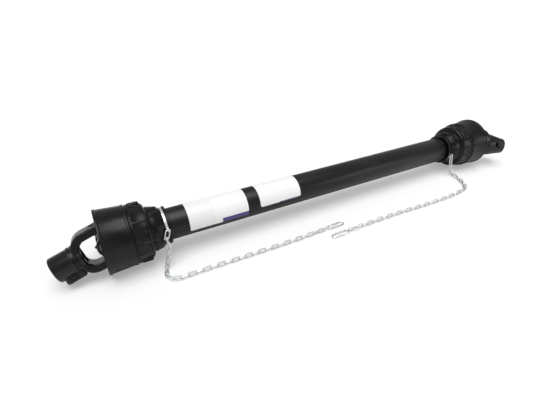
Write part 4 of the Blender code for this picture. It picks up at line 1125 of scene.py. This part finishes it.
def hook(side, joints):
    """Hook of wire along X."""
    path = arc((HOOK_EYE, 0), HOOK_EYE, math.radians(-320), math.radians(-50), 20)
    far = HOOK_LENGTH - HOOK_BEND - 2 * HOOK_RADIUS
    path += [(2 * HOOK_EYE + 0.004, -HOOK_EYE), (far - 0.014, -HOOK_EYE + 0.0002)]
    path += arc((far, HOOK_BEND - HOOK_EYE), HOOK_BEND, -QUARTER, QUARTER, 14)
    path += [(far + x, 2 * HOOK_BEND - HOOK_EYE + y) for x, y in HOOK_RETURN]
    made = wire(side + "_spring_hook", [(x, y, 0) for x, y in path], HOOK_RADIUS,
                place=hook_place(joints))
    return dress(made, zinc, "zinc", "guard_" + side, side + "_chain_hook")


hook("left", left_joints)
hook("right", right_joints)

# %% [markdown]
# The shaft lies on a pale seamless floor. To the camera alone the floor glows a little and the
# room is white, which gives a white background with pale shadows. A Light Path node tells camera
# rays from others. The pieces see a greyer room, so their black stays black.

# %% Floor and room
ROOM_LIGHT = 0.40
ground = bmesh.new()
bmesh.ops.create_grid(ground, x_segments=4, y_segments=4, size=15.0)
floor = to_object("floor", ground)
pale = Finish("pale_floor", Roughness=0.7, Specular_IOR_Level=0.2, Emission_Strength=1.0)
seen = pale.node("ShaderNodeLightPath")
pale.feed(Base_Color=pale.mix(seen, (0.80, 0.80, 0.80, 1), (0.68, 0.68, 0.68, 1)),
          Emission_Color=pale.mix(seen, (0, 0, 0, 1), (0.30, 0.30, 0.30, 1)))
floor.data.materials.append(pale.material)

world = bpy.data.worlds.new("room")
bpy.context.scene.world = world
world.use_nodes = True
background = world.node_tree.nodes["Background"]
camera_ray = world.node_tree.nodes.new("ShaderNodeLightPath")
horizon = world.node_tree.nodes.new("ShaderNodeMapRange")
horizon.inputs["To Min"].default_value = ROOM_LIGHT
horizon.inputs["To Max"].default_value = 1.0
background.inputs["Color"].default_value = (1.0, 1.0, 1.0, 1.0)
world.node_tree.links.new(camera_ray.outputs["Is Camera Ray"], horizon.inputs["Value"])
world.node_tree.links.new(horizon.outputs["Result"], background.inputs["Strength"])
print("the pieces see the room at", ROOM_LIGHT)

# %% [markdown]
# One wide soft lamp above gives long gentle highlights on the black tubes, and soft shadows where
# they touch the floor. A low card beside the far end puts a second, weaker highlight along the
# tube's flank.

# %% Lamps
SUN_FROM = Vector((-0.12, -0.17, 1.0))
CARD_PLACE = Vector((0.88, -0.85, 0.40))
CARD_AIM = Vector((0.14, 0.037, 0.08))
daylight = bpy.data.lights.new("wide_soft_light", "SUN")
daylight.energy = 2.15
daylight.angle = math.radians(52)
lamp = in_scene("wide_soft_light", daylight)
lamp.rotation_euler = SUN_FROM.to_track_quat("Z", "Y").to_euler()

card = bpy.data.lights.new("low_side_card", "AREA")
card.shape = "RECTANGLE"
card.size = 0.75
card.size_y = 0.26
card.energy = 1.5
side_lamp = in_scene("low_side_card", card)
side_lamp.location = CARD_PLACE
side_lamp.rotation_euler = (CARD_AIM - CARD_PLACE).to_track_quat("-Z", "Y").to_euler()
print("lamps", lamp.name, "and", side_lamp.name)
